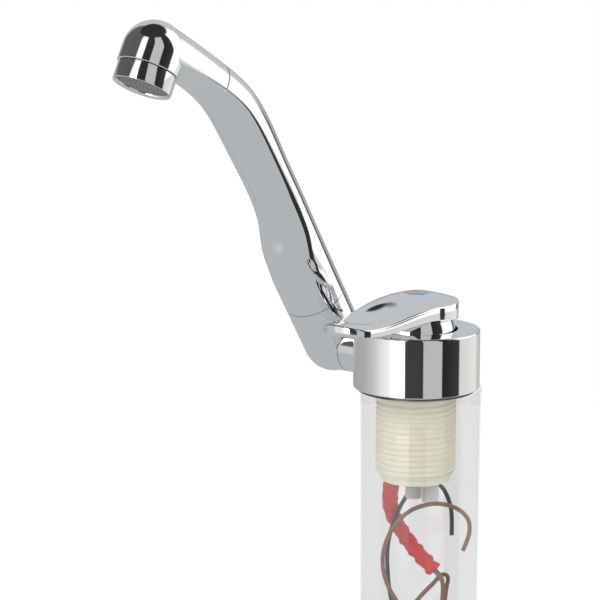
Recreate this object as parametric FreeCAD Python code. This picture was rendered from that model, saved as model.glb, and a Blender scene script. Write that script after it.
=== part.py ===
import FreeCAD, Part
import math
import os

Vec = FreeCAD.Vector

# Sizes are in millimetres. Z is up, the worktop's surface is z = 0 and the swivel axis is x = y = 0.
# The lever and the spout both point along -Y, and the spout stands beside the ring, on its -X side.

# Shank, flange and core, one moulding
thread_radius = 16.625
thread_pitch = 2.309
thread_depth = 1.1
thread_crest_share = 0.3
shank_length = 38.0
collar_radius = 17.2
collar_length = 3.0
shank_end_length = 4.0
shank_end_radius = 14.6
shank_wall = 2.9
shank_roof_depth = 2.0
flange_radius = 24.6
flange_thickness = 2.6
core_radius = 20.7
core_top = 20.2
core_floor = 6.0
cartridge_bore_radius = 13.0
channel_low = 9.5
channel_high = 16.5
channel_radius = 18.5

# Gasket, washer and seals under and around the ring
gasket_thickness = 1.0
gasket_outer_radius = 25.4
gasket_seat_radius = 16.4
gasket_clearance = 0.1
running_gap = 0.3
washer_thickness = 0.3
washer_side_gap = 0.3
seal_groove_depth = 1.75
seal_section_radius = 0.85
seal_low = 6.4
seal_high = 18.9
seal_side_play = 0.05

# Ring
ring_radius = 26.0
ring_height = 24.2
ring_bore_gap = 0.3
ring_skirt_gap = 0.4
ring_top_thickness = 3.0
ring_opening_radius = 17.0
ring_top_fillet = 0.8
ring_bottom_fillet = 0.4

# Fold pivot between the ring and the spout
pivot_height = 13.0
boss_face = 33.9
spigot_radius = 5.0
spigot_fit = 0.08
spigot_seal_gap = 0.3
spigot_bore_radius = 2.6
spigot_depth_in_elbow = 5.0
spigot_inner_end = 21.3
spigot_seal_section = 0.6
spigot_seal_places = (24.0, 31.5)
spigot_groove_play = 0.1
retaining_pin_radius = 0.9
retaining_pin_place = 28.0
retaining_pin_length = 15.0
retaining_groove_radius = 4.0
retaining_pin_clearance = 0.08

# Elbow and spout
spout_offset = 44.0
elbow_radius = 10.6
elbow_bore_radius = 7.6
elbow_lean = 32.0
elbow_run = 26.0
elbow_run_radius = 13.0
elbow_ball_lift = 2.2
spout_width = 26.0
spout_wall = 1.8
cover_thickness = 1.4
cover_side_gap = 0.05
cover_margin = 1.6
seam_gap = 0.05
flat_sagitta = 0.35
spout_place_shares = (0.0757, 0.1595, 0.2373, 0.3409, 0.455, 0.5707, 0.6873, 0.7965, 0.9022)
spout_bows = (1.76, 3.65, 5.79, 8.44, 11.15, 14.01, 14.42, 10.38, 5.24)
spout_rise_turns = (14.0, 19.2, 17.6, 14.3, 9.9, 5.4, -3.4, -13.9, -20.5)
spout_narrowings = (0, 0, 0, 0, 0, 0, 0.2, 0.7, 1.6)
spout_heights = (25.8, 22.2, 17.4, 15.0, 14.6, 14.7, 14.1, 13.4, 14.3)
spout_shoulders = (9.0, 4.2, 1.4, 0, 0, 0, 0, 0, 0)
spout_last_rise = 30.0
cover_first_index = 4
cover_end_index = 10
seam_index = 8
section_point_count = 8
water_tube_radius = 2.9
water_tube_bore = 2.1
water_tube_stop = 14.0
water_tube_stations = (4, 6, 8)
water_tube_bends = (3.1, 12.0, 12.0, 12.0, 12.0)

# Head and aerator
outlet_reach = 111.9
outlet_height = 128.2
outlet_lean = 27.0
head_radius = 12.3
head_centre_height = 14.8
collar_height = 7.5
head_bore_radius = 10.2
neck_step = 0.3
head_flat_share = 0.3
aerator_radius = 11.6
aerator_mouth_radius = 9.6
aerator_neck_radius = 10.1
aerator_neck_top = 12.5
aerator_neck_wall = 1.2
aerator_lip = 1.2
screen_recess = 1.5
screen_thickness = 0.6
screen_radius = 8.8
screen_bar = 0.35
screen_pitch = 1.6
straightener_height = 6.0
straightener_hole_radius = 1.15
straightener_ring_radii = (0.0, 3.2, 6.2)
straightener_hole_counts = (1, 6, 12)
aerator_washer_thickness = 1.4
aerator_washer_bore = 6.5

# Mixing cartridge
seal_disc_thickness = 1.0
seal_disc_radius = 12.3
fixed_disc_radius = 11.0
fixed_disc_thickness = 3.0
moving_disc_radius = 8.0
moving_disc_thickness = 2.4
carrier_radius = 7.6
carrier_thickness = 2.6
carrier_socket_radius = 2.0
mixing_pocket_radius = 5.8
mixing_pocket_depth = 1.2
mixing_pocket_offset = 1.9
inlet_port_radius = 1.5
inlet_port_place = (4.8, -4.6)
outlet_port_radius = 2.0
outlet_port_offset = 4.5
gallery_height = 2.2
gallery_radius = 1.5
gallery_riser_place = 16.8
gallery_mouth_lift = 1.0
housing_radius = 12.6
housing_fit = 0.1
chamber_radius = 10.4
chamber_top = 16.9
housing_shoulder = 17.2
housing_neck_radius = 10.2
housing_top = 21.0
throat_radius = 8.3
nut_thread_radius = 12.9
nut_head_radius = 13.9
nut_top = 21.6
nut_bore_gap = 0.1

# Lever, its pivot and its stem
lever_pivot_height = 24.0
lever_lift_limit = 12.0
guide_radius = 8.0
guide_flange_radius = 9.9
guide_flange_thickness = 1.3
guide_top = 27.0
guide_slot_width = 8.2
guide_slot_length = 11.0
guide_ears_from = 19.0
guide_floor_gap = 0.3
pivot_pin_radius = 1.25
pivot_pin_play = 0.05
stem_radius = 4.0
stem_rod_radius = 1.5
stem_ball_height = 14.0
stem_shoulder = 20.0
stem_square = 6.5
stem_square_from = 28.0
stem_top = 34.0
stem_tap_depth = 7.5
bell_radius = 16.4
bell_wall = 1.8
bell_top_height = 8.0
lever_length = 51.0
lever_rear_radius = 16.9
lever_tip_half_width = 11.6
lever_tip_corner = 10.0
lever_tip_bulge = 0.2
lever_boss_radius = 6.0
lever_boss_low = 31.0
lever_rib_inner = 10.0
lever_rib_outer = 12.0
lever_rib_low = 29.2
lever_top_heights = ((-60.0, 9.4), (-50.0, 8.6), (-39.0, 8.1), (-28.0, 9.4), (-15.0, 13.0), (-3.0, 15.1),
                     (8.0, 14.4), (20.0, 10.6))
lever_edge_heights = (4.8, 4.8, 4.9, 6.7, 9.2, 10.9, 11.0, 9.4)
lever_underside = ((-60.0, 4.2), (-50.0, 4.0), (-40.0, 3.4), (-28.0, 3.9), (-16.0, 6.0), (-4.0, 6.4), (3.0, 4.0),
                   (22.0, 4.0))
lever_section_half_width = 17.0
crown_margin = 4.0
dish_place = 28.0
dish_radius = 30.0
dish_depth = 1.6
dish_surface_height = 9.4
plug_radius = 5.5
plug_thickness = 1.8
plug_play = 0.1
screw_head_radius = 3.6
screw_head_height = 2.4
screw_radius = 2.0
screw_play = 0.2
screw_end_gap = 1.0
screw_socket_radius = 1.3
screw_socket_depth = 1.5

# Microswitch and its leads
switch_width = 8.3
switch_depth = 3.4
switch_height = 6.5
switch_front = 12.6
plunger_radius = 0.9
plunger_showing = 1.0
plunger_length = 2.2
lead_radius = 0.9
lead_spacing = 2.0
lead_lift = 0.1
lead_into_sleeve = 3.0
inner_lead_bends = (1.6, 5.0, 3.0, 3.0)
duct_radius = 2.2
duct_place = 15.6
duct_turn_height = 2.5
duct_exit = (-10.5, -4.5)
red_sleeve_radius = 3.0

# Inlet tails and the clear protective sleeve
tail_radius = 3.4
tail_bore_radius = 2.2
tail_place = (4.5, 4.5)
tail_socket_depth = 2.6
tail_below_shank = 10.0
tail_hose_length = 12.0
tail_stop_radius = 4.1
tail_stop_height = 1.5
clear_sleeve_radius = 24.2
clear_sleeve_wall = 0.7
clear_sleeve_length = 112.0
clear_sleeve_offset = (0.8, 0.7)

# Routes of the red sleeve and of the two free leads, as chosen points
red_sleeve_route = [
    (-2.3, -8.5, -10.9), (-4.6, -7.1, -19.0), (-7.4, -5.1, -28.5), (-9.4, -3.6, -38.0),
    (-13.0, -1.0, -48.4), (-14.6, 2.3, -55.9), (-12.0, 4.6, -62.9), (-7.0, 5.8, -69.1),
    (-1.4, 6.8, -74.1), (4.1, 8.4, -78.8),
]
brown_route = [
    (4.57, 7.49, -78.56), (6.5, 8.05, -80.21), (8.0, 8.5, -82.53), (8.8, 8.7, -85.6), (8.8, 8.8, -90.1),
    (8.1, 7.3, -95.6), (5.0, 4.6, -99.6), (-0.3, 2.4, -98.9), (-3.6, 3.5, -94.7),
    (-1.6, 8.0, -90.0), (0.8, 11.6, -86.2), (3.5, 14.0, -81.6), (5.9, 16.1, -82.9),
    (4.9, 15.3, -88.2), (4.7, 15.0, -93.9), (2.5, 13.1, -100.5), (-1.9, 7.8, -104.2),
    (-5.0, 0.9, -99.2), (-6.9, -3.5, -91.5), (-9.4, -7.2, -83.7), (-10.8, -8.5, -74.6),
    (-9.8, -7.5, -65.9), (-6.4, -5.8, -58.2), (0.1, -5.3, -51.5), (6.9, -4.5, -47.6),
    (12.4, -0.9, -46.2), (16.1, 3.8, -47.6), (18.2, 8.4, -50.5), (19.2, 12.0, -54.9),
    (18.9, 13.1, -59.5), (17.6, 13.2, -64.1), (15.6, 12.8, -68.8),
]
black_route = [
    (3.63, 9.31, -79.04), (5.56, 9.87, -80.69), (6.8, 10.23, -83.17), (7.0, 10.6, -86.6), (6.6, 10.8, -91.6),
    (6.1, 10.3, -98.1), (2.9, 7.3, -104.7), (-2.4, 3.2, -107.1), (-8.4, 0.4, -102.5),
    (-11.3, -0.8, -94.9), (-11.7, -2.5, -87.1), (-12.2, -2.9, -79.6), (-12.4, -3.1, -72.2),
    (-11.5, -3.0, -65.1), (-9.9, -2.3, -58.8), (-9.4, 0.3, -54.0), (-10.2, 4.9, -50.4),
    (-9.5, 8.9, -46.7), (-7.0, 12.5, -44.2), (-1.1, 13.2, -41.9), (4.5, 12.2, -43.1),
    (7.7, 12.4, -47.3), (9.4, 12.6, -52.6), (10.2, 12.0, -58.0), (10.8, 11.1, -62.9),
]

# How far a cut runs past the face that it opens, and the share of a run that a lead's bend may take
past = 1.0
bend_share = 0.45

# Sizes that follow from the ones above
ring_low = gasket_thickness + running_gap
ring_top = ring_low + ring_height
flange_top = gasket_thickness + flange_thickness
washer_top = flange_top + washer_thickness
ring_bore_radius = core_radius + ring_bore_gap
ring_skirt_radius = flange_radius + ring_skirt_gap
spigot_bore = spigot_radius + spigot_fit
shank_bore_radius = thread_radius - shank_wall
head_up = Vec(0, math.sin(math.radians(outlet_lean)), math.cos(math.radians(outlet_lean)))
outlet_centre = Vec(-spout_offset, -outlet_reach, outlet_height)


def cylinder(radius, low, high, x=0.0, y=0.0):
    return Part.makeCylinder(radius, high - low, Vec(x, y, low), Vec(0, 0, 1))


def tube(outer, inner, low, high, x=0.0, y=0.0):
    return cylinder(outer, low, high, x, y).cut(cylinder(inner, low - past, high + past, x, y))


def rod(radius, start, end):
    along = end.sub(start)
    return Part.makeCylinder(radius, along.Length, start, along)


def ring_seal(section, centre_radius, centre, axis):
    return Part.makeTorus(centre_radius, section, centre, axis)


def revolved(points):
    """A profile of (radius, z) points turned about the swivel axis."""
    corners = [Vec(radius, 0, z) for radius, z in points]
    face = Part.Face(Part.makePolygon(corners + corners[:1]))
    return face.revolve(Vec(0, 0, 0), Vec(0, 0, 1), 360)


def export(shape, name):
    shape.exportStep("parts/" + name + ".step")
    print(name, "solids", len(shape.Solids), "volume", round(shape.Volume, 1), "valid", shape.isValid())


def shank_profile():
    """Outline of the threaded shank, with a groove at each turn of the thread's pitch."""
    bottom = -shank_length
    points = [(0, bottom), (shank_end_radius, bottom)]
    thread_low = bottom + shank_end_length
    turns = int((shank_length - shank_end_length - collar_length) / thread_pitch)
    crest = thread_pitch * thread_crest_share
    points.append((thread_radius, thread_low))
    for turn in range(turns):
        low = thread_low + turn * thread_pitch
        points.append((thread_radius, low + crest))
        points.append((thread_radius - thread_depth, low + (thread_pitch + crest) / 2))
        points.append((thread_radius, low + thread_pitch))
    points.append((thread_radius, -collar_length))
    points += [(collar_radius, -collar_length), (collar_radius, 0)]
    points += [(gasket_seat_radius, 0), (gasket_seat_radius, gasket_thickness)]
    return points


def seal_groove(height):
    half = seal_section_radius + seal_side_play
    return [(core_radius, height - half), (core_radius - seal_groove_depth, height - half),
            (core_radius - seal_groove_depth, height + half), (core_radius, height + half)]


def make_shank_body():
    points = shank_profile()
    points += [(flange_radius, gasket_thickness), (flange_radius, flange_top), (core_radius, flange_top)]
    points += seal_groove(seal_low)
    points += [(core_radius, channel_low), (channel_radius, channel_low)]
    points += [(channel_radius, channel_high), (core_radius, channel_high)]
    points += seal_groove(seal_high)
    points += [(core_radius, core_top), (0, core_top)]
    body = revolved(points)
    body = body.cut(cylinder(cartridge_bore_radius, core_floor, core_top + past))
    body = body.cut(cylinder(shank_bore_radius, -shank_length - past, -shank_roof_depth))
    for side in (-1, 1):
        tail_x, tail_y = side * tail_place[0], tail_place[1]
        port = Vec(side * inlet_port_place[0], inlet_port_place[1], core_floor)
        socket_top = tail_socket_depth - shank_roof_depth
        body = body.cut(cylinder(tail_radius, -shank_roof_depth - past, socket_top, tail_x, tail_y))
        slope = port.sub(Vec(tail_x, tail_y, socket_top))
        slope.normalize()
        start = Vec(tail_x, tail_y, socket_top).sub(slope * inlet_port_radius)
        body = body.cut(rod(inlet_port_radius, start, port.add(slope * inlet_port_radius)))
    body = body.cut(cylinder(outlet_port_radius, gallery_height, core_floor + past, 0, outlet_port_offset))
    bend = Vec(0, gallery_riser_place, gallery_height)
    body = body.cut(rod(gallery_radius, Vec(0, outlet_port_offset, gallery_height), bend))
    riser_top = channel_high - gallery_radius
    body = body.cut(cylinder(gallery_radius, gallery_height, riser_top, 0, gallery_riser_place))
    mouth = Vec(0, core_radius + past, channel_low + gallery_radius + gallery_mouth_lift)
    body = body.cut(rod(gallery_radius, Vec(0, gallery_riser_place, mouth.z), mouth))
    turn_point = Vec(0, -duct_place, duct_turn_height)
    body = body.cut(cylinder(duct_radius, duct_turn_height, core_top + past, 0, -duct_place))
    body = body.cut(Part.makeSphere(duct_radius, turn_point))
    return body.cut(rod(duct_radius, turn_point, Vec(0, duct_exit[0], duct_exit[1])))


def make_base_gasket():
    return tube(gasket_outer_radius, gasket_seat_radius + gasket_clearance, 0, gasket_thickness)


def make_slide_washer():
    return tube(flange_radius - washer_side_gap, ring_bore_radius + washer_side_gap, flange_top, washer_top)


def make_swivel_seals():
    centre_radius = core_radius - seal_groove_depth + seal_section_radius + seal_side_play
    return Part.makeCompound([ring_seal(seal_section_radius, centre_radius, Vec(0, 0, height), Vec(0, 0, 1))
                              for height in (seal_low, seal_high)])


def pivot_rod(radius, near, far):
    """A cylinder on the fold axis, between two distances from the swivel axis."""
    return rod(radius, Vec(-near, 0, pivot_height), Vec(-far, 0, pivot_height))


def retaining_pin_centres():
    reach = retaining_groove_radius + retaining_pin_clearance + retaining_pin_radius
    return [(-retaining_pin_place, side * reach) for side in (-1, 1)]


def make_body_ring():
    outer = cylinder(ring_radius, ring_low, ring_top)
    rims = [edge for edge in outer.Edges if isinstance(edge.Curve, Part.Circle)]
    outer = outer.makeFillet(ring_top_fillet, [edge for edge in rims if edge.CenterOfMass.z > pivot_height])
    rims = [edge for edge in outer.Edges if abs(edge.BoundBox.ZMax - ring_low) < 0.01 and edge.Closed]
    outer = outer.makeFillet(ring_bottom_fillet, rims[:1])
    ring = outer.fuse(pivot_rod(elbow_radius, ring_bore_radius, boss_face))
    ring = ring.cut(cylinder(ring_bore_radius, ring_low - past, ring_top - ring_top_thickness))
    ring = ring.cut(cylinder(ring_skirt_radius, ring_low - past, washer_top))
    ring = ring.cut(cylinder(ring_opening_radius, ring_low, ring_top + past))
    ring = ring.cut(pivot_rod(spigot_bore, ring_bore_radius - past, boss_face + past))
    pin_top = pivot_height + retaining_pin_length / 2
    for x, y in retaining_pin_centres():
        ring = ring.cut(cylinder(retaining_pin_radius, ring_low, pin_top, x, y))
    return ring.removeSplitter()


def make_retaining_pins():
    low = pivot_height - retaining_pin_length / 2
    high = low + retaining_pin_length
    pins = [cylinder(retaining_pin_radius, low, high, x, y) for x, y in retaining_pin_centres()]
    return Part.makeCompound(pins)


def spigot_groove(place, width, bottom):
    return pivot_rod(spigot_radius + past, place - width / 2, place + width / 2).cut(
        pivot_rod(bottom, place - width, place + width))


def elbow_start():
    return boss_face + running_gap


def make_spigot():
    outer_end = elbow_start() + spigot_depth_in_elbow
    spigot = pivot_rod(spigot_radius, spigot_inner_end, outer_end)
    spigot = spigot.cut(pivot_rod(spigot_bore_radius, spigot_inner_end - past, outer_end + past))
    width = 2 * (spigot_seal_section + spigot_groove_play)
    for place in spigot_seal_places:
        bottom = spigot_bore - spigot_seal_gap - 2 * spigot_seal_section
        spigot = spigot.cut(spigot_groove(place, width, bottom))
    pin_width = 2 * (retaining_pin_radius + retaining_pin_clearance)
    return spigot.cut(spigot_groove(retaining_pin_place, pin_width, retaining_groove_radius))


def make_spigot_seals():
    centre_radius = spigot_bore - spigot_seal_gap - spigot_seal_section
    seals = [ring_seal(spigot_seal_section, centre_radius, Vec(-place, 0, pivot_height), Vec(1, 0, 0))
             for place in spigot_seal_places]
    return Part.makeCompound(seals)


def section(origin, across, up, width, height, shoulder):
    """A closed spout section: a crowned top over an underside that is flat or round."""
    def at(x, n):
        return origin.add(across * x).add(up * n)
    half = width / 2
    edges = []
    for arc in (Part.Arc(at(half, shoulder), at(0, height), at(-half, shoulder)),
                Part.Arc(at(-half, shoulder), at(0, 0), at(half, shoulder))):
        steps = [index / section_point_count for index in range(section_point_count + 1)]
        span = arc.LastParameter - arc.FirstParameter
        points = [arc.value(arc.FirstParameter + span * step) for step in steps]
        curve = Part.BSplineCurve()
        curve.interpolate(Points=points, Parameters=steps)
        edges.append(curve.toShape())
    return Part.Wire(edges)


def head_centre():
    return outlet_centre.add(head_up * head_centre_height)


def rise_direction():
    lean = math.radians(elbow_lean)
    return Vec(0, -math.sin(lean), math.cos(lean))


def bend_radius():
    return spout_offset - elbow_start()


def seam_centre():
    lean = math.radians(elbow_lean)
    return Vec(-spout_offset, -math.sin(lean) * elbow_run, pivot_height + math.cos(lean) * elbow_run)


def spout_stations():
    """Crest point (y, z), rise angle, width, height and shoulder height of each section, from the elbow up.

    Between the two ends a section stands at a share of the line between their crests, bowed out from it.
    """
    seam = seam_centre()
    lean = math.radians(elbow_lean)
    first = Vec(0, seam.y + elbow_run_radius * math.cos(lean), seam.z + elbow_run_radius * math.sin(lean))
    last_up = Vec(0, math.sin(math.radians(spout_last_rise)), math.cos(math.radians(spout_last_rise)))
    last_radius = head_radius - neck_step
    last = head_centre().add(last_up * last_radius)
    last = Vec(0, last.y, last.z)
    chord = last.sub(first)
    along = Vec(chord).normalize()
    out = Vec(0, along.z, -along.y)
    chord_rise = math.degrees(math.atan2(along.z, -along.y))
    stations = [((first.y, first.z), 90 - elbow_lean, 2 * elbow_run_radius, 2 * elbow_run_radius,
                 elbow_run_radius)]
    for share, bow, turn, narrowing, height, shoulder in zip(spout_place_shares, spout_bows, spout_rise_turns,
                                                             spout_narrowings, spout_heights, spout_shoulders):
        crest = first.add(chord * share).add(out * bow)
        stations.append(((crest.y, crest.z), chord_rise + turn, spout_width - narrowing, height,
                         max(shoulder, flat_sagitta)))
    last_drop = last_radius * head_flat_share
    last_width = 2 * math.sqrt(last_radius ** 2 - (last_drop - flat_sagitta) ** 2)
    stations.append(((last.y, last.z), spout_last_rise, last_width, last_radius + last_drop, flat_sagitta))
    return stations


def station_frame(station):
    (y, z), rise, width, height, shoulder = station
    angle = math.radians(rise)
    up = Vec(0, math.sin(angle), math.cos(angle))
    origin = Vec(-spout_offset, y, z).sub(up * height)
    return origin, up, width, height, shoulder


def spout_loft(inset=0.0, floor=0.0):
    wires = []
    for station in spout_stations():
        origin, up, width, height, shoulder = station_frame(station)
        low = max(shoulder - floor, flat_sagitta)
        base = origin.add(up * floor)
        wires.append(section(base, Vec(1, 0, 0), up, width - 2 * inset, height - inset - floor, low))
    return Part.makeLoft(wires, True, False)


def spout_underside(depth, first, last):
    """A smooth curve in the middle plane, at a depth above the underside."""
    points = []
    for station in spout_stations()[first:last]:
        origin, up = station_frame(station)[:2]
        points.append(origin.add(up * depth))
    return points


def cover_slot(half_width, depth):
    """The slot in the underside that the cover closes, from the flat's start to just before the head."""
    inner = spout_underside(depth, cover_first_index, cover_end_index)
    outer = spout_underside(-cover_thickness, cover_first_index, cover_end_index)
    inner_curve = Part.BSplineCurve()
    inner_curve.interpolate(inner)
    outer_curve = Part.BSplineCurve()
    outer_curve.interpolate(outer)
    start = Part.LineSegment(inner[0], outer[0]).toShape()
    end = Part.LineSegment(inner[-1], outer[-1]).toShape()
    wire = Part.Wire(Part.__sortEdges__([inner_curve.toShape(), start, outer_curve.toShape(), end]))
    face = Part.Face(wire)
    face.translate(Vec(-half_width, 0, 0))
    block = face.extrude(Vec(2 * half_width, 0, 0))
    return block.cut(head_dome(head_radius + cover_margin, 0))


def seam_block(shift):
    """Everything on the head's side of the upper seam, moved along the spout by a shift."""
    origin, up = station_frame(spout_stations()[seam_index])[:2]
    along = Vec(0, -up.z, up.y)
    size = 4 * spout_offset
    block = Part.makeBox(size, size, size, Vec(-size / 2, -size / 2, 0))
    block.Placement = FreeCAD.Placement(origin.add(along * shift), FreeCAD.Rotation(Vec(0, 0, 1), along))
    return block


def on_head(radius, low, high):
    """A cylinder on the aerator's axis, between two heights above the outlet."""
    return rod(radius, outlet_centre.add(head_up * low), outlet_centre.add(head_up * high))


def head_dome(radius, low):
    """A round-ended plug on the aerator's axis, from a height above the outlet to the head's dome."""
    out = Vec(1, 0, 0)
    centre = head_centre()
    foot = outlet_centre.add(head_up * low)
    side = centre.add(out * radius)
    top = centre.add(head_up * radius)
    middle = centre.add(out * (radius * math.sqrt(0.5))).add(head_up * (radius * math.sqrt(0.5)))
    edges = [Part.LineSegment(foot, foot.add(out * radius)), Part.LineSegment(foot.add(out * radius), side),
             Part.Arc(side, middle, top), Part.LineSegment(top, foot)]
    face = Part.Face(Part.Wire([edge.toShape() for edge in edges]))
    return face.revolve(foot, head_up, 360)


def make_spout_head(neck, hollow, slot):
    head = head_dome(head_radius, collar_height).fuse(neck)
    return head.cut(head_dome(head_bore_radius, collar_height - past)).cut(hollow).cut(slot)


def make_spout_pieces():
    outer = spout_loft()
    hollow = spout_loft(spout_wall, cover_thickness)
    slot = cover_slot(spout_width / 2 - cover_margin, cover_thickness + spout_wall)
    shell = outer.cut(hollow).cut(slot)
    cover = outer.common(cover_slot(spout_width / 2 - cover_margin - cover_side_gap, cover_thickness))
    tube_piece = shell.cut(seam_block(-seam_gap / 2))
    head = make_spout_head(outer.common(seam_block(seam_gap / 2)), hollow, slot)
    return tube_piece, head, cover


def elbow_bore():
    """The waterway's quarter bend from the fold axis into the spout's plane, and its run up to the spout."""
    rise = rise_direction()
    side = Vec(-1, 0, 0).cross(rise)
    start = Vec(-elbow_start(), 0, pivot_height)
    hub = start.add(rise * bend_radius())
    disc = Part.Face(Part.Wire([Part.makeCircle(elbow_bore_radius, start, Vec(-1, 0, 0))]))
    bend_end = Vec(-spout_offset, 0, pivot_height).add(rise * bend_radius())
    return disc.revolve(hub, side, 90).fuse(rod(elbow_bore_radius, bend_end, seam_centre().add(rise)))


def make_elbow():
    """A round-ended run that starts in a ball on the fold axis and meets the ring's boss in a round neck."""
    rise = rise_direction()
    ball = Vec(-spout_offset, 0, pivot_height).add(rise * elbow_ball_lift)
    run_end = seam_centre().sub(rise * seam_gap)
    elbow = Part.makeSphere(elbow_run_radius, ball)
    neck = pivot_rod(elbow_radius, elbow_start(), spout_offset)
    elbow = elbow.fuse([rod(elbow_run_radius, ball, run_end), neck])
    elbow = elbow.cut(pivot_rod(elbow_radius + running_gap, 0, elbow_start()))
    socket_end = elbow_start() + spigot_depth_in_elbow
    bore = elbow_bore().cut(pivot_rod(spout_offset, 0, socket_end))
    return elbow.cut(bore).cut(pivot_rod(spigot_radius, elbow_start() - past, socket_end + past))


def tube_path(points, radii):
    """Straight runs joined by tangent arcs, one radius for each inner point."""
    edges = []
    last = points[0]
    for before, corner, after, radius in zip(points, points[1:], points[2:], radii):
        into = corner.sub(before).normalize()
        out = after.sub(corner).normalize()
        half_turn = into.getAngle(out) / 2
        reach = radius * math.tan(half_turn)
        start = corner.sub(into * reach)
        end = corner.add(out * reach)
        middle = out.sub(into).normalize() * (radius / math.cos(half_turn) - radius)
        edges.append(Part.LineSegment(last, start).toShape())
        edges.append(Part.Arc(start, corner.add(middle), end).toShape())
        last = end
    edges.append(Part.LineSegment(last, points[-1]).toShape())
    return Part.Wire(edges)


def run_radii(points):
    """The largest arc that each corner's two runs allow."""
    radii = []
    for before, corner, after in zip(points, points[1:], points[2:]):
        into = corner.sub(before)
        out = after.sub(corner)
        shorter = min(into.Length, out.Length)
        radii.append(bend_share * shorter / math.tan(into.getAngle(out) / 2))
    return radii


def swept(path, radius):
    edge = path.Edges[0]
    start = edge.valueAt(edge.FirstParameter)
    circle = Part.Wire([Part.makeCircle(radius, start, edge.tangentAt(edge.FirstParameter))])
    return path.makePipeShell([circle], True, False)


def make_flexible(points, radius, name):
    radii = run_radii(points)
    path = tube_path(points, radii)
    solid = swept(path, radius)
    expected = math.pi * radius ** 2 * path.Length
    print(name, "length", round(path.Length, 1), "smallest radius", round(min(radii), 1),
          "radii", [round(value, 1) for value in radii], "volume share", round(solid.Volume / expected, 4))
    return solid


def make_water_tube():
    rise = rise_direction()
    stations = spout_stations()
    middle = []
    for index in water_tube_stations:
        origin, up, width, height, shoulder = station_frame(stations[index])
        middle.append(origin.add(up * (height / 2)))
    start = Vec(-elbow_start() - spigot_depth_in_elbow, 0, pivot_height)
    corner = Vec(-spout_offset, 0, pivot_height)
    centre = head_centre()
    end = centre.add(middle[-1].sub(centre).normalize() * water_tube_stop)
    points = [start, corner, corner.add(rise * elbow_run)] + middle + [end]
    radii = water_tube_bends
    path = tube_path(points, radii)
    return swept(path, water_tube_radius).cut(swept(path, water_tube_bore))


def make_aerator_housing():
    body = on_head(aerator_radius, 0, collar_height - seam_gap)
    body = body.fuse(on_head(aerator_neck_radius, collar_height - seam_gap, aerator_neck_top))
    body = body.cut(on_head(aerator_mouth_radius - aerator_lip, -1, aerator_lip))
    inner = aerator_neck_radius - aerator_neck_wall
    return body.cut(on_head(inner, aerator_lip, aerator_neck_top + past))


def make_aerator_screen():
    low = aerator_lip
    disc = on_head(screen_radius, low, low + screen_thickness)
    rim = disc.cut(on_head(screen_radius - screen_bar * 2, low - past, low + screen_thickness + past))
    across = Vec(1, 0, 0)
    along = across.cross(head_up)
    bars = []
    count = int(2 * screen_radius / screen_pitch)
    for index in range(count + 1):
        offset = (index - count / 2) * screen_pitch
        chord = math.sqrt(max(screen_radius ** 2 - offset ** 2, 0)) - screen_bar
        if chord > screen_pitch:
            for one, other in ((across, along), (along, across)):
                corner = outlet_centre.add(head_up * low).sub(other * chord)
                corner = corner.add(one * (offset - screen_bar / 2))
                wide = one * screen_bar
                long = other * (2 * chord)
                face = Part.Face(Part.makePolygon([corner, corner.add(wide), corner.add(wide).add(long),
                                                   corner.add(long), corner]))
                bars.append(face.extrude(head_up * screen_thickness))
    return rim.multiFuse(bars).removeSplitter()


def make_flow_straightener():
    low = aerator_lip + screen_thickness
    body = on_head(screen_radius, low, low + straightener_height)
    across = Vec(1, 0, 0)
    along = across.cross(head_up)
    holes = []
    for radius, count in zip(straightener_ring_radii, straightener_hole_counts):
        for index in range(count):
            angle = 2 * math.pi * index / count
            centre = outlet_centre.add(across * (radius * math.cos(angle)))
            centre = centre.add(along * (radius * math.sin(angle)))
            holes.append(rod(straightener_hole_radius, centre.add(head_up * (low - past)),
                             centre.add(head_up * (low + straightener_height + past))))
    return body.cut(holes)


def make_aerator_washer():
    low = aerator_neck_top
    washer = on_head(aerator_neck_radius - running_gap, low, low + aerator_washer_thickness)
    return washer.cut(on_head(aerator_washer_bore, low - past, low + aerator_washer_thickness + past))


def ported(shape, low, high):
    """Cuts the two inlet ports and the outlet port through a disc of the cartridge."""
    for side in (-1, 1):
        x, y = side * inlet_port_place[0], inlet_port_place[1]
        shape = shape.cut(cylinder(inlet_port_radius, low - past, high + past, x, y))
    return shape.cut(cylinder(outlet_port_radius, low - past, high + past, 0, outlet_port_offset))


def cartridge_levels():
    seal_top = core_floor + seal_disc_thickness
    fixed_top = seal_top + fixed_disc_thickness
    moving_top = fixed_top + moving_disc_thickness
    return seal_top, fixed_top, moving_top, moving_top + carrier_thickness


def make_cartridge_seal():
    seal_top = cartridge_levels()[0]
    return ported(cylinder(seal_disc_radius, core_floor, seal_top), core_floor, seal_top)


def make_fixed_disc():
    seal_top, fixed_top = cartridge_levels()[:2]
    return ported(cylinder(fixed_disc_radius, seal_top, fixed_top), seal_top, fixed_top)


def make_moving_disc():
    fixed_top, moving_top = cartridge_levels()[1:3]
    disc = cylinder(moving_disc_radius, fixed_top, moving_top)
    pocket_top = fixed_top + mixing_pocket_depth
    return disc.cut(cylinder(mixing_pocket_radius, fixed_top - past, pocket_top, 0, mixing_pocket_offset))


def make_disc_carrier():
    moving_top, carrier_top = cartridge_levels()[2:]
    return tube(carrier_radius, carrier_socket_radius, moving_top, carrier_top)


def make_cartridge_housing():
    seal_top, fixed_top = cartridge_levels()[:2]
    return revolved([
        (fixed_disc_radius + housing_fit, seal_top), (housing_radius, seal_top),
        (housing_radius, housing_shoulder), (housing_neck_radius, housing_shoulder),
        (housing_neck_radius, housing_top), (throat_radius, housing_top),
        (throat_radius, chamber_top), (chamber_radius, chamber_top), (chamber_radius, fixed_top),
        (fixed_disc_radius + housing_fit, fixed_top)])


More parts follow.
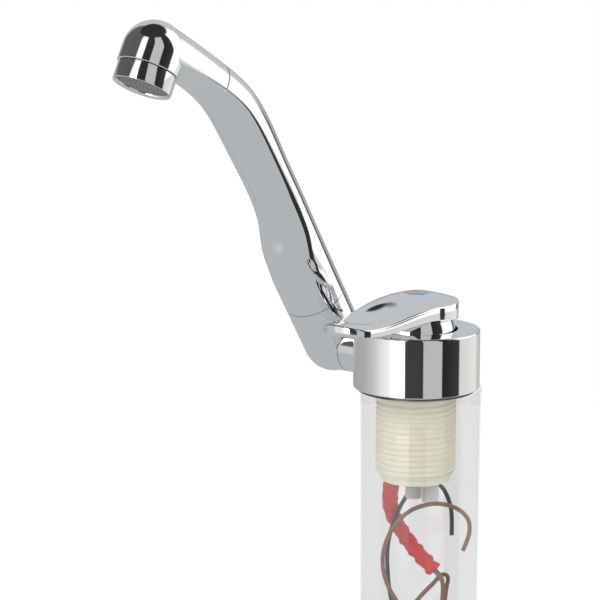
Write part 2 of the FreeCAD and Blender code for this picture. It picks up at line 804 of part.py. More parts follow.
def make_cartridge_nut():
    inner = housing_neck_radius + nut_bore_gap
    return revolved([(inner, housing_shoulder), (nut_thread_radius, housing_shoulder),
                     (nut_thread_radius, core_top), (nut_head_radius, core_top),
                     (nut_head_radius, nut_top), (inner, nut_top)])


def slot_block(width, length, low, high):
    return Part.makeBox(width, length, high - low, Vec(-width / 2, -length / 2, low))


def make_lever_guide():
    low = cartridge_levels()[3] + guide_floor_gap
    flange_high = low + guide_flange_thickness
    guide = cylinder(guide_flange_radius, low, flange_high).fuse(cylinder(guide_radius, flange_high, guide_top))
    guide = guide.cut(slot_block(guide_slot_width, guide_slot_length, low - past, guide_ears_from + past))
    guide = guide.cut(slot_block(guide_slot_width, 4 * guide_radius, guide_ears_from, guide_top + past))
    return guide.cut(lever_pin(pivot_pin_radius, 2 * guide_radius))


def lever_pin(radius, half_length):
    return rod(radius, Vec(-half_length, 0, lever_pivot_height), Vec(half_length, 0, lever_pivot_height))


def make_pivot_pin():
    half = math.sqrt(guide_radius ** 2 - pivot_pin_radius ** 2)
    return lever_pin(pivot_pin_radius, half - pivot_pin_play)


def make_lever_stem():
    stem = cylinder(stem_rod_radius, stem_ball_height, stem_shoulder + past)
    stem = stem.fuse(Part.makeSphere(stem_rod_radius, Vec(0, 0, stem_ball_height)))
    stem = stem.fuse(cylinder(stem_radius, stem_shoulder, stem_square_from))
    stem = stem.fuse(slot_block(stem_square, stem_square, stem_square_from, stem_top))
    stem = stem.cut(lever_pin(pivot_pin_radius + pivot_pin_play, 2 * stem_radius))
    return stem.cut(cylinder(screw_radius, stem_top - stem_tap_depth, stem_top + past))


def lever_plan():
    """The lever seen from above: a round rear about the swivel axis and a rounded tip."""
    half = lever_tip_half_width
    tip = -lever_length
    side_y = tip + lever_tip_corner
    lean = math.atan2(lever_rear_radius - half, -side_y)
    touch = Vec(lever_rear_radius * math.cos(lean), -lever_rear_radius * math.sin(lean), 0)
    start = Vec(half, side_y, 0)
    corner_end = Vec(half - lever_tip_corner, tip + lever_tip_bulge, 0)
    bite = lever_tip_corner * (1 - math.sqrt(0.5))
    corner_mid = Vec(half - bite, side_y - lever_tip_corner + bite + lever_tip_bulge / 2, 0)

    def mirrored(point):
        return Vec(-point.x, point.y, point.z)

    edges = [
        Part.LineSegment(start, touch),
        Part.Arc(touch, Vec(0, lever_rear_radius, 0), mirrored(touch)),
        Part.LineSegment(mirrored(touch), mirrored(start)),
        Part.Arc(mirrored(start), mirrored(corner_mid), mirrored(corner_end)),
        Part.Arc(mirrored(corner_end), Vec(0, tip, 0), corner_end),
        Part.Arc(corner_end, corner_mid, start),
    ]
    wire = Part.Wire([edge.toShape() for edge in edges])
    face = Part.Face(wire)
    face.translate(Vec(0, 0, ring_top))
    return face.extrude(Vec(0, 0, 2 * ring_radius))


def lever_crown():
    """A block whose top is the lever's crowned surface."""
    wires = []
    half = lever_section_half_width + crown_margin
    for (y, crest), edge in zip(lever_top_heights, lever_edge_heights):
        drop = (crest - edge) * (half / lever_section_half_width) ** 2
        right = Vec(half, y, ring_top + crest - drop)
        left = Vec(-half, y, ring_top + crest - drop)
        top = Part.Arc(right, Vec(0, y, ring_top + crest), left).toShape()
        low_left = Vec(-half, y, ring_top - ring_radius)
        low_right = Vec(half, y, ring_top - ring_radius)
        sides = [Part.LineSegment(left, low_left), Part.LineSegment(low_left, low_right),
                 Part.LineSegment(low_right, right)]
        wires.append(Part.Wire([top] + [line.toShape() for line in sides]))
    return Part.makeLoft(wires, True, False)


def lever_side():
    """A block above the lever's underside line."""
    points = [Vec(-2 * ring_radius, y, ring_top + z) for y, z in lever_underside]
    points += [Vec(-2 * ring_radius, lever_underside[-1][0], 3 * ring_top),
               Vec(-2 * ring_radius, lever_underside[0][0], 3 * ring_top)]
    face = Part.Face(Part.makePolygon(points + points[:1]))
    return face.extrude(Vec(4 * ring_radius, 0, 0))


def lever_crest():
    """Height of the lever's top over the stem."""
    rows = list(lever_top_heights)
    for (y0, z0), (y1, z1) in zip(rows, rows[1:]):
        if y0 <= 0 <= y1:
            return ring_top + z0 + (z1 - z0) * (0 - y0) / (y1 - y0)
    return ring_top + rows[-1][1]


def plug_floor():
    return lever_crest() - plug_thickness


def screw_seat():
    return plug_floor() - screw_head_height - screw_play


def make_lever():
    pivot = Vec(0, 0, lever_pivot_height)
    paddle = lever_crown().common(lever_plan()).common(lever_side())
    dish_top = ring_top + dish_surface_height - dish_depth + dish_radius
    paddle = paddle.cut(Part.makeSphere(dish_radius, Vec(0, -dish_place, dish_top)))
    ball = Part.makeSphere(bell_radius, pivot)
    bell = ball.common(cylinder(bell_radius + past, lever_pivot_height, ring_top + bell_top_height))
    cavity = Part.makeSphere(bell_radius - bell_wall, pivot)
    keep = tube(lever_rib_outer, lever_rib_inner, lever_rib_low, 3 * ring_top)
    keep = keep.fuse(cylinder(lever_boss_radius, lever_boss_low, 3 * ring_top))
    lever = paddle.fuse(bell).cut(cavity.cut(keep))
    lever = lever.cut(slot_block(stem_square, stem_square, lever_boss_low - past, stem_top))
    lever = lever.cut(cylinder(screw_radius + screw_play, stem_top - past, plug_floor()))
    lever = lever.cut(cylinder(screw_head_radius + screw_play, screw_seat(), plug_floor()))
    return lever.cut(cylinder(plug_radius + plug_play, plug_floor(), 3 * ring_top))


def make_lever_screw():
    head_top = screw_seat() + screw_head_height
    screw = cylinder(screw_head_radius, screw_seat(), head_top)
    screw = screw.fuse(cylinder(screw_radius, stem_top - stem_tap_depth + screw_end_gap, screw_seat()))
    return screw.cut(cylinder(screw_socket_radius, head_top - screw_socket_depth, head_top + past))


def make_indicator_plug():
    return cylinder(plug_radius, plug_floor(), plug_floor() + plug_thickness)


def make_microswitch():
    corner = Vec(-switch_width / 2, -switch_front, nut_top)
    case = Part.makeBox(switch_width, switch_depth, switch_height, corner)
    top = nut_top + switch_height
    return case.cut(switch_plunger_rod(plunger_radius + running_gap / 2, top - plunger_length, top + past))


def switch_plunger_rod(radius, low, high):
    return cylinder(radius, low, high, 0, -switch_front + switch_depth / 2)


def make_switch_plunger():
    top = nut_top + switch_height + plunger_showing
    return switch_plunger_rod(plunger_radius, top - plunger_length, top)


def inner_lead_points(side):
    """From the switch, over the nut, down the duct and into the top of the red sleeve."""
    x = side * lead_spacing / 2
    level = nut_top + lead_radius + lead_lift
    mouth = Vec(*red_sleeve_route[0])
    into = Vec(*red_sleeve_route[1]).sub(mouth).normalize()
    across = into.cross(Vec(0, 1, 0)).normalize()
    end = mouth.add(across * x)
    return [Vec(x, -switch_front, level), Vec(x, -duct_place, level), Vec(x, -duct_place, duct_turn_height),
            Vec(x, duct_exit[0], duct_exit[1]), end.sub(into * lead_into_sleeve), end]


def make_inner_lead(side, name):
    path = tube_path(inner_lead_points(side), inner_lead_bends)
    solid = swept(path, lead_radius)
    print(name, "length", round(path.Length, 1), "radii", inner_lead_bends)
    return solid


def route_points(route):
    return [Vec(*point) for point in route]


def make_tail(side):
    x, y = side * tail_place[0], tail_place[1]
    low = -shank_length - tail_below_shank
    tail = cylinder(tail_radius, low, tail_socket_depth - shank_roof_depth, x, y)
    stop_low = low + tail_hose_length
    tail = tail.fuse(cylinder(tail_stop_radius, stop_low, stop_low + tail_stop_height, x, y))
    return tail.cut(cylinder(tail_bore_radius, low - past, tail_socket_depth, x, y))


def make_clear_sleeve():
    inner = clear_sleeve_radius - clear_sleeve_wall
    return tube(clear_sleeve_radius, inner, -clear_sleeve_length, 0, *clear_sleeve_offset)


def main():
    os.makedirs("parts", exist_ok=True)
    export(make_base_gasket(), "base_gasket")
    export(make_shank_body(), "shank_body")
    export(make_slide_washer(), "slide_washer")
    export(make_swivel_seals(), "swivel_seals")
    export(make_body_ring(), "body_ring")
    export(make_retaining_pins(), "spigot_retaining_pins")
    export(make_spigot(), "spout_spigot")
    export(make_spigot_seals(), "spigot_seals")
    export(make_elbow(), "spout_elbow")
    tube_piece, head, cover = make_spout_pieces()
    export(tube_piece, "spout_tube")
    export(head, "spout_head")
    export(cover, "spout_underside_cover")
    export(make_water_tube(), "water_tube")
    export(make_aerator_housing(), "aerator_housing")
    export(make_aerator_screen(), "aerator_screen")
    export(make_flow_straightener(), "flow_straightener")
    export(make_aerator_washer(), "aerator_washer")
    export(make_cartridge_seal(), "cartridge_seal")
    export(make_fixed_disc(), "fixed_disc")
    export(make_moving_disc(), "moving_disc")
    export(make_disc_carrier(), "disc_carrier")
    export(make_cartridge_housing(), "cartridge_housing")
    export(make_cartridge_nut(), "cartridge_nut")
    export(make_lever_guide(), "lever_guide")
    export(make_pivot_pin(), "lever_pivot_pin")
    export(make_lever_stem(), "lever_stem")
    export(make_lever(), "lever")
    export(make_lever_screw(), "lever_screw")
    export(make_indicator_plug(), "indicator_plug")
    export(make_microswitch(), "microswitch")
    export(make_switch_plunger(), "switch_plunger")
    export(make_inner_lead(-1, "brown_lead_inner"), "brown_lead_inner")
    export(make_inner_lead(1, "black_lead_inner"), "black_lead_inner")
    export(make_flexible(route_points(red_sleeve_route), red_sleeve_radius, "red_sleeve"), "red_sleeve")
    export(make_flexible(route_points(brown_route), lead_radius, "brown_lead"), "brown_lead")
    export(make_flexible(route_points(black_route), lead_radius, "black_lead"), "black_lead")
    export(make_tail(-1), "hot_tail")
    export(make_tail(1), "cold_tail")
    export(make_clear_sleeve(), "clear_sleeve")


main()
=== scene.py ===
import math
import bpy
import numpy as np
from mathutils import Matrix, Vector


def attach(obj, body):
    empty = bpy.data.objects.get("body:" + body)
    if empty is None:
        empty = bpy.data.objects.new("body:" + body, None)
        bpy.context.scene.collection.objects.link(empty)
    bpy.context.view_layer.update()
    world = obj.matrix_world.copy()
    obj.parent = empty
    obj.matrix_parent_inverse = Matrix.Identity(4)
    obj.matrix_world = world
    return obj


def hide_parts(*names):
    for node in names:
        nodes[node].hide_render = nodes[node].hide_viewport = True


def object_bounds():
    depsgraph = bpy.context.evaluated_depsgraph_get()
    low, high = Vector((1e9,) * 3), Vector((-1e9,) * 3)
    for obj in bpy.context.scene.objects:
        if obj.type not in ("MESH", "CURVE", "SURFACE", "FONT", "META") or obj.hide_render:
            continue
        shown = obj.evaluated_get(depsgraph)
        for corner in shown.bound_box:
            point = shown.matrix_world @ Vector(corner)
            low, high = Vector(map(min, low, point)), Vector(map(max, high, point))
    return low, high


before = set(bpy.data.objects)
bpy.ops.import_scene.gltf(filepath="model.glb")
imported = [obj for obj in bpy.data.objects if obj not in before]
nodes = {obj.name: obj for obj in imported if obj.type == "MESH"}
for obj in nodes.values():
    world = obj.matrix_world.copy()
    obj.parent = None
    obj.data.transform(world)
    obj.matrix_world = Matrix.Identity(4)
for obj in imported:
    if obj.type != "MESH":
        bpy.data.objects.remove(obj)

cadLow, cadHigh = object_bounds()
mm = 0.001
print("frame loaded,", len(nodes), "nodes")


# shader sockets as numbers: an operator on a Wire adds a Math node

class Wire:
    def __init__(self, shader, socket):
        self.shader = shader
        self.socket = socket

    def calc(self, operation, first, second):
        return self.shader.add("ShaderNodeMath", {"operation": operation}, {0: first, 1: second})

    def __add__(self, other):
        return self.calc("ADD", self, other)

    def __radd__(self, other):
        return self.calc("ADD", other, self)

    def __sub__(self, other):
        return self.calc("SUBTRACT", self, other)

    def __rsub__(self, other):
        return self.calc("SUBTRACT", other, self)

    def __mul__(self, other):
        return self.calc("MULTIPLY", self, other)

    def __rmul__(self, other):
        return self.calc("MULTIPLY", other, self)

    def __truediv__(self, other):
        return self.calc("DIVIDE", self, other)

    def __rtruediv__(self, other):
        return self.calc("DIVIDE", other, self)

    def __gt__(self, other):
        return self.calc("GREATER_THAN", self, other)

    def __lt__(self, other):
        return self.calc("LESS_THAN", self, other)


class Shader:
    def __init__(self, owner):
        owner.use_nodes = True
        self.tree = owner.node_tree
        self.tree.nodes.clear()

    def add(self, kind, settings=None, sockets=None, out=0):
        node = self.tree.nodes.new(kind)
        for name, value in (settings or {}).items():
            if name == "stops":
                ramp = node.color_ramp
                while len(ramp.elements) < len(value):
                    ramp.elements.new(0.5)
                for element, (place, colour) in zip(ramp.elements, value):
                    element.position = place
                    element.color = colour
            else:
                setattr(node, name, value)
        for name, value in (sockets or {}).items():
            if isinstance(value, Wire):
                self.tree.links.new(value.socket, node.inputs[name])
            else:
                node.inputs[name].default_value = value
        return Wire(self, node.outputs[out])

    def mix(self, factor, first, second):
        return self.add("ShaderNodeMix", {"data_type": "RGBA"}, {0: factor, 6: first, 7: second}, 2)

    def mixShader(self, factor, first, second):
        return self.add("ShaderNodeMixShader", None, {0: factor, 1: first, 2: second})

    def noise(self, scale, detail=3.0, rough=0.5, place=None):
        return self.add("ShaderNodeTexNoise", None, {"Vector": place or self.place(), "Scale": scale,
                                                     "Detail": detail, "Roughness": rough})

    def place(self):
        return self.add("ShaderNodeTexCoord", None, None, "Object")

    def apart(self, vector=None):
        split = self.add("ShaderNodeSeparateXYZ", None, {0: vector or self.place()})
        return [Wire(self, output) for output in split.socket.node.outputs]

    def bump(self, height, strength, distance=0.1 * mm):
        return self.add("ShaderNodeBump", None, {"Height": height, "Strength": strength,
                                                 "Distance": distance})

    def ray(self, kind):
        # 1 where a ray of this kind asks for the colour
        return self.add("ShaderNodeLightPath", None, None, "Is %s Ray" % kind)

    def principled(self, **sockets):
        return self.add("ShaderNodeBsdfPrincipled", None, {name.replace("_", " "): value
                                                           for name, value in sockets.items()})

    def done(self, surface, kind="ShaderNodeOutputMaterial"):
        output = self.tree.nodes.new(kind)
        self.tree.links.new(surface.socket, output.inputs["Surface"])


def ink(red, green, blue):
    # a screen colour of 0 to 255 as the linear colour a shader takes
    linear = []
    for value in (red, green, blue):
        share = value / 255
        linear.append(share / 12.92 if share < 0.04045 else ((share + 0.055) / 1.055) ** 2.4)
    return tuple(linear) + (1.0,)


def grey(level):
    return ink(level, level, level)


white = (1.0, 1.0, 1.0, 1.0)


# camera

cameraSettings = {
    "place": (0.5581, -0.6865, 0.1978),
    "look": (-0.661, 0.7287, -0.1789),
    "lens": 131.7,
    "sensor": 36.0,
    "nearest": 0.05,
}


def makeCamera(settings):
    camera = bpy.data.objects.new("camera", bpy.data.cameras.new("camera"))
    bpy.context.scene.collection.objects.link(camera)
    camera.location = settings["place"]
    camera.rotation_euler = Vector(settings["look"]).to_track_quat("-Z", "Y").to_euler()
    camera.data.lens = settings["lens"]
    camera.data.sensor_width = settings["sensor"]
    camera.data.clip_start = settings["nearest"]
    bpy.context.scene.camera = camera


makeCamera(cameraSettings)
bpy.context.scene.view_settings.view_transform = "Standard"
print("camera set")


# studio: a room whose bands show in the chrome, a pale floor and soft lamps

# a stop of the bands is an angle, 0 on the camera's side and growing to its right, and a screen grey;
# a height is the z of the direction looked in, from -1 straight down to 1 straight up
roomSettings = {
    "facing": 42.21,  # the side that the camera stands on, degrees
    "plainLight": (0.80, 0.80, 0.80, 1.0),
    "chromeShare": 0.93,  # how much of the light the chrome gives back
    "bands": [(-180, 160), (-146, 162), (-112, 170), (-90, 189), (-80, 204), (-71, 222), (-54, 240),
              (-50.5, 255), (-24.5, 255), (-23.5, 60), (5, 60), (9, 30), (10, 184), (43.5, 184), (45, 35),
              (80, 56), (82, 211), (110, 222), (133, 228), (137, 202), (180, 160)],
    "highBands": [(-180, 165), (-146, 165), (-112, 172), (-90, 189), (-80, 204), (-71, 222), (-54, 240),
                  (-50.5, 255), (-24.5, 255), (-23.5, 60), (9, 45), (10, 184), (43.5, 184), (45, 35),
                  (79, 56), (81, 255), (130, 255), (134, 70), (140, 70), (144, 165), (180, 165)],
    "topBands": [(-180, 192), (-152, 192), (-142, 92), (-56, 84), (-50.5, 255), (-24.5, 255), (-23, 48),
                 (9, 42), (10.5, 186), (43, 186), (45, 35), (79, 50), (81, 255), (132, 255), (142, 192),
                 (180, 192)],
    "warmSide": (80, 135), "warmTint": (1.0, 0.985, 0.95),
    "behind": 135, "blueShift": 3,
    "toHigh": (-0.185, -0.165),
    "toTop": (0.08, 0.22),
    "toRoof": (0.80, 0.86), "roof": grey(48),
    "toGround": (-0.26, -0.32), "ground": ink(182, 185, 187),
    "lowerSide": (40, 150), "lowerBy": 0.30,  # the ground begins further down on the right
    "panelSide": (-50.0, -24.5), "panelHeights": (-0.25, 0.45), "panelLight": (2.5, 2.5, 2.5, 1.0),
}


def turnShare(angle):
    return angle / 360 + 0.5


def between(value, low, high):
    return (value > low) * (value < high)


def eased(shader, value, start, end):
    return shader.add("ShaderNodeMapRange", {"interpolation_type": "SMOOTHSTEP"},
                      {"Value": value, "From Min": start, "From Max": end})


def bandRamp(shader, turn, settings, name):
    # the low bands are warm on the right, those above them a little blue behind
    stops = []
    for angle, level in settings[name]:
        colour = grey(level)[:3]
        if name == "bands" and settings["warmSide"][0] < angle < settings["warmSide"][1]:
            colour = [value * tint for value, tint in zip(colour, settings["warmTint"])]
        if name != "bands" and abs(angle) > settings["behind"]:
            colour = ink(level - settings["blueShift"], level, level + settings["blueShift"])[:3]
        stops.append((turnShare(angle), [value / settings["chromeShare"] for value in colour] + [1.0]))
    return shader.add("ShaderNodeValToRGB", {"stops": stops}, {0: turn})


def makeRoom(settings):
    world = bpy.data.worlds.new("room")
    bpy.context.scene.world = world
    shader = Shader(world)
    facing = math.radians(settings["facing"])
    x, y, z = shader.apart(shader.add("ShaderNodeTexCoord", None, None, "Generated"))
    toward = x * math.sin(facing) - y * math.cos(facing)
    right = x * math.cos(facing) + y * math.sin(facing)
    turn = right.calc("ARCTAN2", right, toward) / (2 * math.pi) + 0.5
    low, high, top = [bandRamp(shader, turn, settings, name) for name in ("bands", "highBands", "topBands")]
    seen = shader.mix(eased(shader, z, *settings["toHigh"]), low, high)
    seen = shader.mix(eased(shader, z, *settings["toTop"]), seen, top)
    seen = shader.mix(eased(shader, z, *settings["toRoof"]), seen, settings["roof"])
    lowered = z + between(turn, *map(turnShare, settings["lowerSide"])) * settings["lowerBy"]
    seen = shader.mix(eased(shader, lowered, *settings["toGround"]), seen, settings["ground"])
    panel = between(turn, *map(turnShare, settings["panelSide"])) * between(z, *settings["panelHeights"])
    seen = shader.mix(panel, seen, settings["panelLight"])
    direct = shader.ray("Camera").calc("MAXIMUM", shader.ray("Camera"), shader.ray("Transmission"))
    plain = shader.mix(direct, settings["plainLight"], white)
    colour = shader.mix(shader.ray("Glossy"), plain, seen)
    shader.done(shader.add("ShaderNodeBackground", None, {"Color": colour}), "ShaderNodeOutputWorld")


floorSettings = {"radius": 0.46, "around": 128, "below": 0.4, "paper": 244, "glow": 0.55}


def makeFloor(settings):
    bpy.ops.object.select_all(action="DESELECT")
    bpy.ops.mesh.primitive_circle_add(vertices=settings["around"], radius=settings["radius"],
                                      fill_type="NGON", location=(0, 0, cadLow.z - settings["below"] * mm))
    floor = bpy.context.object
    floor.name = "floor"
    bpy.ops.object.transform_apply(location=True)
    material = bpy.data.materials.new("floorPaper")
    shader = Shader(material)
    paper = shader.add("ShaderNodeBsdfDiffuse", None, {"Color": grey(settings["paper"])})
    bright = shader.add("ShaderNodeEmission", None, {"Color": white, "Strength": 1.0})
    clear = shader.add("ShaderNodeBsdfTransparent", None, {"Color": white})
    shown = shader.mixShader(shader.ray("Camera") * settings["glow"], paper, bright)
    shader.done(shader.mixShader(shader.ray("Glossy"), shown, clear))
    floor.data.materials.append(material)


lampSettings = {
    "aim": (0, -0.02, 0.03),
    "lamps": [((-0.25, -1.05, 0.75), 0.9, 9.0), ((1.1, -0.25, 0.7), 0.8, 6.0), ((-0.1, 0.5, 1.1), 0.9, 5.0)],
}


def makeLamps(settings):
    for index, (place, size, power) in enumerate(settings["lamps"]):
        name = "lamp%d" % index
        lamp = bpy.data.objects.new(name, bpy.data.lights.new(name, "AREA"))
        lamp.data.size = size
        lamp.data.energy = power
        lamp.location = place
        lamp.rotation_euler = (Vector(settings["aim"]) - Vector(place)).to_track_quat("-Z", "Y").to_euler()
        lamp.visible_glossy = False
        lamp.visible_camera = False
        bpy.context.scene.collection.objects.link(lamp)


makeRoom(roomSettings)
makeFloor(floorSettings)
makeLamps(lampSettings)
print("studio set")


# finishes

def newShader(name):
    material = bpy.data.materials.new(name)
    return material, Shader(material)


# a noise is given as its scale, detail and roughness
chromeSettings = {
    "dark": (0.90, 0.905, 0.915, 1), "light": (0.95, 0.952, 0.955, 1),
    "cloud": (38.0, 4.0, 0.6), "fine": (900.0, 2.0), "ripple": (26.0, 1.0),
    "rough": 0.03, "cloudRough": 0.025, "fineRough": 0.012,
    "relief": 0.05, "reliefDepth": 0.6,
}


def makeChrome(settings):
    material, shader = newShader("chromePlate")
    cloud = shader.noise(*settings["cloud"])
    fine = shader.noise(*settings["fine"])
    ripple = shader.noise(*settings["ripple"])
    shader.done(shader.principled(
        Base_Color=shader.mix(cloud, settings["dark"], settings["light"]), Metallic=1.0,
        Roughness=settings["rough"] + cloud * settings["cloudRough"] + fine * settings["fineRough"],
        Normal=shader.bump(ripple, settings["relief"], settings["reliefDepth"] * mm)))
    return material


# stretch draws the grain out into lines round the Z axis
metalSettings = {
    "plainSteel": {"dark": (0.40, 0.38, 0.36, 1), "light": (0.56, 0.54, 0.51, 1), "cloud": (300.0, 3.0),
                   "grain": (2600.0, 2.0, 0.5), "stretch": None, "rough": 0.26, "grainRough": 0.16,
                   "relief": 0.12},
    "turnedBrass": {"dark": (0.52, 0.36, 0.13, 1), "light": (0.70, 0.52, 0.22, 1), "cloud": (260.0, 3.0),
                    "grain": (3200.0, 1.0, 0.5), "stretch": 0.05, "rough": 0.24, "grainRough": 0.2,
                    "relief": 0.15},
}


def makeMetal(name):
    settings = metalSettings[name]
    material, shader = newShader(name)
    place = shader.place()
    if settings["stretch"]:
        x, y, z = shader.apart(place)
        place = shader.add("ShaderNodeCombineXYZ", None,
                           {0: x * settings["stretch"], 1: y * settings["stretch"], 2: z})
    grain = shader.noise(*settings["grain"], place)
    cloud = shader.noise(*settings["cloud"])
    shader.done(shader.principled(
        Base_Color=shader.mix(cloud, settings["dark"], settings["light"]), Metallic=1.0,
        Roughness=settings["rough"] + grain * settings["grainRough"],
        Normal=shader.bump(grain, settings["relief"])))
    return material


plasticSettings = {
    "cloud": (150.0, 4.0, 0.6), "grainDetail": 2.0, "grainRough": 0.12,
    "underRadius": (1.0, 0.8, 0.5), "underDepth": 2.0,
}


def makePlastic(name, dark, light, rough, grainScale=1500.0, relief=0.1, under=0.0):
    settings = plasticSettings
    material, shader = newShader(name)
    cloud = shader.noise(*settings["cloud"])
    grain = shader.noise(grainScale, settings["grainDetail"])
    sockets = {"Base_Color": shader.mix(cloud, dark, light),
               "Roughness": rough + grain * settings["grainRough"], "Normal": shader.bump(grain, relief)}
    if under:  # light that goes in and comes out again
        sockets.update(Subsurface_Weight=under, Subsurface_Radius=settings["underRadius"],
                       Subsurface_Scale=settings["underDepth"] * mm)
    shader.done(shader.principled(**sockets))
    return material


indicatorSettings = {
    "red": (ink(150, 96, 80), ink(172, 116, 96)),
    "blue": (ink(92, 112, 150), ink(116, 136, 172)),
    "blur": 0.05,
    "cloud": 700.0, "rough": 0.16, "cloudRough": 0.06, "coat": 0.4,
}


def makeIndicator(settings):
    material, shader = newShader("indicatorDisc")
    x = shader.apart()[0]
    blur = settings["blur"] * mm
    side = shader.add("ShaderNodeMapRange", None, {"Value": x, "From Min": -blur, "From Max": blur})
    cloud = shader.noise(settings["cloud"])
    red, blue = shader.mix(cloud, *settings["red"]), shader.mix(cloud, *settings["blue"])
    shader.done(shader.principled(
        Base_Color=shader.mix(side, red, blue), Roughness=settings["rough"] + cloud * settings["cloudRough"],
        Coat_Weight=settings["coat"]))
    return material


# glow and its colour are painted light: the milky wall glows evenly, as no lamp does
clearSettings = {
    "dark": grey(58), "light": grey(76), "cloud": (55.0, 3.0, 0.6), "rough": 0.5, "specular": 0.1,
    "haze": 0.075, "cloudHaze": 0.03, "glow": 0.17, "paintedGlowColour": (1, 1, 0.99, 1),
    "bending": 1.45, "shine": 1.5, "mostShine": 0.065, "glossRough": 0.05,
}


def makeClear(settings):
    material, shader = newShader("clearTube")
    cloud = shader.noise(*settings["cloud"])
    # the haze's emission is painted light, standing in for light scattered in the milky wall over its dark
    # base colour
    haze = shader.principled(
        Base_Color=shader.mix(cloud, settings["dark"], settings["light"]), Roughness=settings["rough"],
        Specular_IOR_Level=settings["specular"], Alpha=settings["haze"] + cloud * settings["cloudHaze"],
        Emission_Color=settings["paintedGlowColour"], Emission_Strength=settings["glow"])
    gloss = shader.add("ShaderNodeBsdfGlossy", None, {"Color": white, "Roughness": settings["glossRough"]})
    edge = shader.add("ShaderNodeFresnel", None, {"IOR": settings["bending"]})
    shine = edge.calc("MINIMUM", edge * settings["shine"], settings["mostShine"])
    shader.done(shader.mixShader(shine, haze, gloss))
    return material


finishes = {
    "chrome": makeChrome(chromeSettings),
    "steel": makeMetal("plainSteel"),
    "brass": makeMetal("turnedBrass"),
    "ceramic": makePlastic("lappedCeramic", ink(226, 226, 222), ink(240, 240, 238), 0.12),
    "rubber": makePlastic("sealRubber", grey(30), grey(46), 0.5),
    "ivory_plastic": makePlastic("ivoryPlastic", ink(228, 222, 201), ink(241, 237, 220), 0.34,
                                 grainScale=1200.0, relief=0.08, under=0.25),
    "white_plastic": makePlastic("whitePlastic", grey(222), grey(236), 0.32),
    "black_plastic": makePlastic("blackPlastic", grey(26), grey(40), 0.36),
    "indicator": makeIndicator(indicatorSettings),
    "milky_plastic": makePlastic("milkyTube", grey(205), grey(222), 0.2, grainScale=900.0, relief=0.05,
                                 under=0.5),
    "red_sleeve": makePlastic("redSleeving", ink(190, 26, 30), ink(216, 44, 44), 0.3, grainScale=700.0,
                              relief=0.3),
    "brown_insulation": makePlastic("brownLead", ink(118, 78, 62), ink(140, 98, 80), 0.3, grainScale=900.0),
    "black_insulation": makePlastic("blackLead", grey(30), grey(44), 0.3, grainScale=900.0),
    "clear_plastic": makeClear(clearSettings),
}

nodeFinish = {
    "chrome": ["body_ring", "spout_elbow", "spout_tube", "spout_head", "spout_underside_cover",
               "aerator_housing", "lever"],
    "steel": ["spigot_retaining_pins", "aerator_screen", "lever_pivot_pin", "lever_stem", "lever_screw"],
    "brass": ["spout_spigot", "cartridge_nut"],
    "ceramic": ["fixed_disc", "moving_disc"],
    "rubber": ["base_gasket", "swivel_seals", "spigot_seals", "aerator_washer", "cartridge_seal"],
    "ivory_plastic": ["shank_body"],
    "white_plastic": ["slide_washer", "flow_straightener", "lever_guide", "disc_carrier",
                      "cartridge_housing"],
    "black_plastic": ["microswitch", "switch_plunger"],
    "indicator": ["indicator_plug"],
    "milky_plastic": ["hot_tail", "cold_tail", "water_tube"],
    "red_sleeve": ["red_sleeve"],
    "brown_insulation": ["brown_lead", "brown_lead_inner"],
    "black_insulation": ["black_lead", "black_lead_inner"],
    "clear_plastic": ["clear_sleeve"],
}


def dress(thing, finish):
    if thing.data.materials:
        for index in range(len(thing.data.materials)):
            thing.data.materials[index] = finishes[finish]
    else:
        thing.data.materials.append(finishes[finish])


for finish, names in nodeFinish.items():
    for name in names:
        dress(nodes[name], finish)
print("finishes given")


# helpers: sizes are in mm, and a piece is drawn out from one ring with extrude

weldGap = 0.004


def nothingSelected():
    if bpy.context.object and bpy.context.object.mode == "EDIT":
        bpy.ops.object.mode_set(mode="OBJECT")
    bpy.ops.object.select_all(action="DESELECT")


def pick(thing):
    nothingSelected()
    thing.select_set(True)
    bpy.context.view_layer.objects.active = thing


def startRing(name, count, radius, height):
    nothingSelected()
    bpy.ops.mesh.primitive_circle_add(vertices=count, radius=radius * mm, location=(0, 0, height * mm))
    thing = bpy.context.object
    thing.name = name
    thing.data.name = name
    bpy.ops.object.transform_apply(location=True)
    bpy.ops.object.mode_set(mode="EDIT")
    bpy.ops.mesh.select_mode(type="EDGE")
    bpy.ops.mesh.select_all(action="SELECT")
    return thing


def closeUp(merge=weldGap):
    bpy.ops.mesh.select_all(action="SELECT")
    bpy.ops.mesh.remove_doubles(threshold=merge * mm)
    bpy.ops.mesh.normals_make_consistent(inside=False)
    bpy.ops.object.mode_set(mode="OBJECT")


def turned(name, profile, around, pole=False):
    # (radius, height) points carried round the Z axis, up to a pole if there is one
    thing = startRing(name, around, *profile[0])
    for (radius, height), (nextRadius, nextHeight) in zip(profile, profile[1:]):
        bpy.ops.mesh.extrude_edges_move(TRANSFORM_OT_translate={"value": (0, 0, (nextHeight - height) * mm)})
        share = nextRadius / radius
        bpy.ops.transform.resize(value=(share, share, 1), center_override=(0, 0, 0))
    if pole:
        bpy.ops.mesh.merge(type="CENTER")
    closeUp()
    return thing


def turnedWall(name, profile, around):
    # the same for a profile that closes on itself
    return turned(name, profile + profile[:1], around)


def capEnds(thing, ringSize, last=True):
    pick(thing)
    starts = [0, len(thing.data.vertices) - ringSize] if last else [0]
    for start in starts:
        for vertex in thing.data.vertices:
            vertex.select = start <= vertex.index < start + ringSize
        for edge in thing.data.edges:
            edge.select = all(thing.data.vertices[end].select for end in edge.vertices)
        for face in thing.data.polygons:
            face.select = False
        bpy.ops.object.mode_set(mode="EDIT")
        bpy.ops.mesh.edge_face_add()
        bpy.ops.object.mode_set(mode="OBJECT")


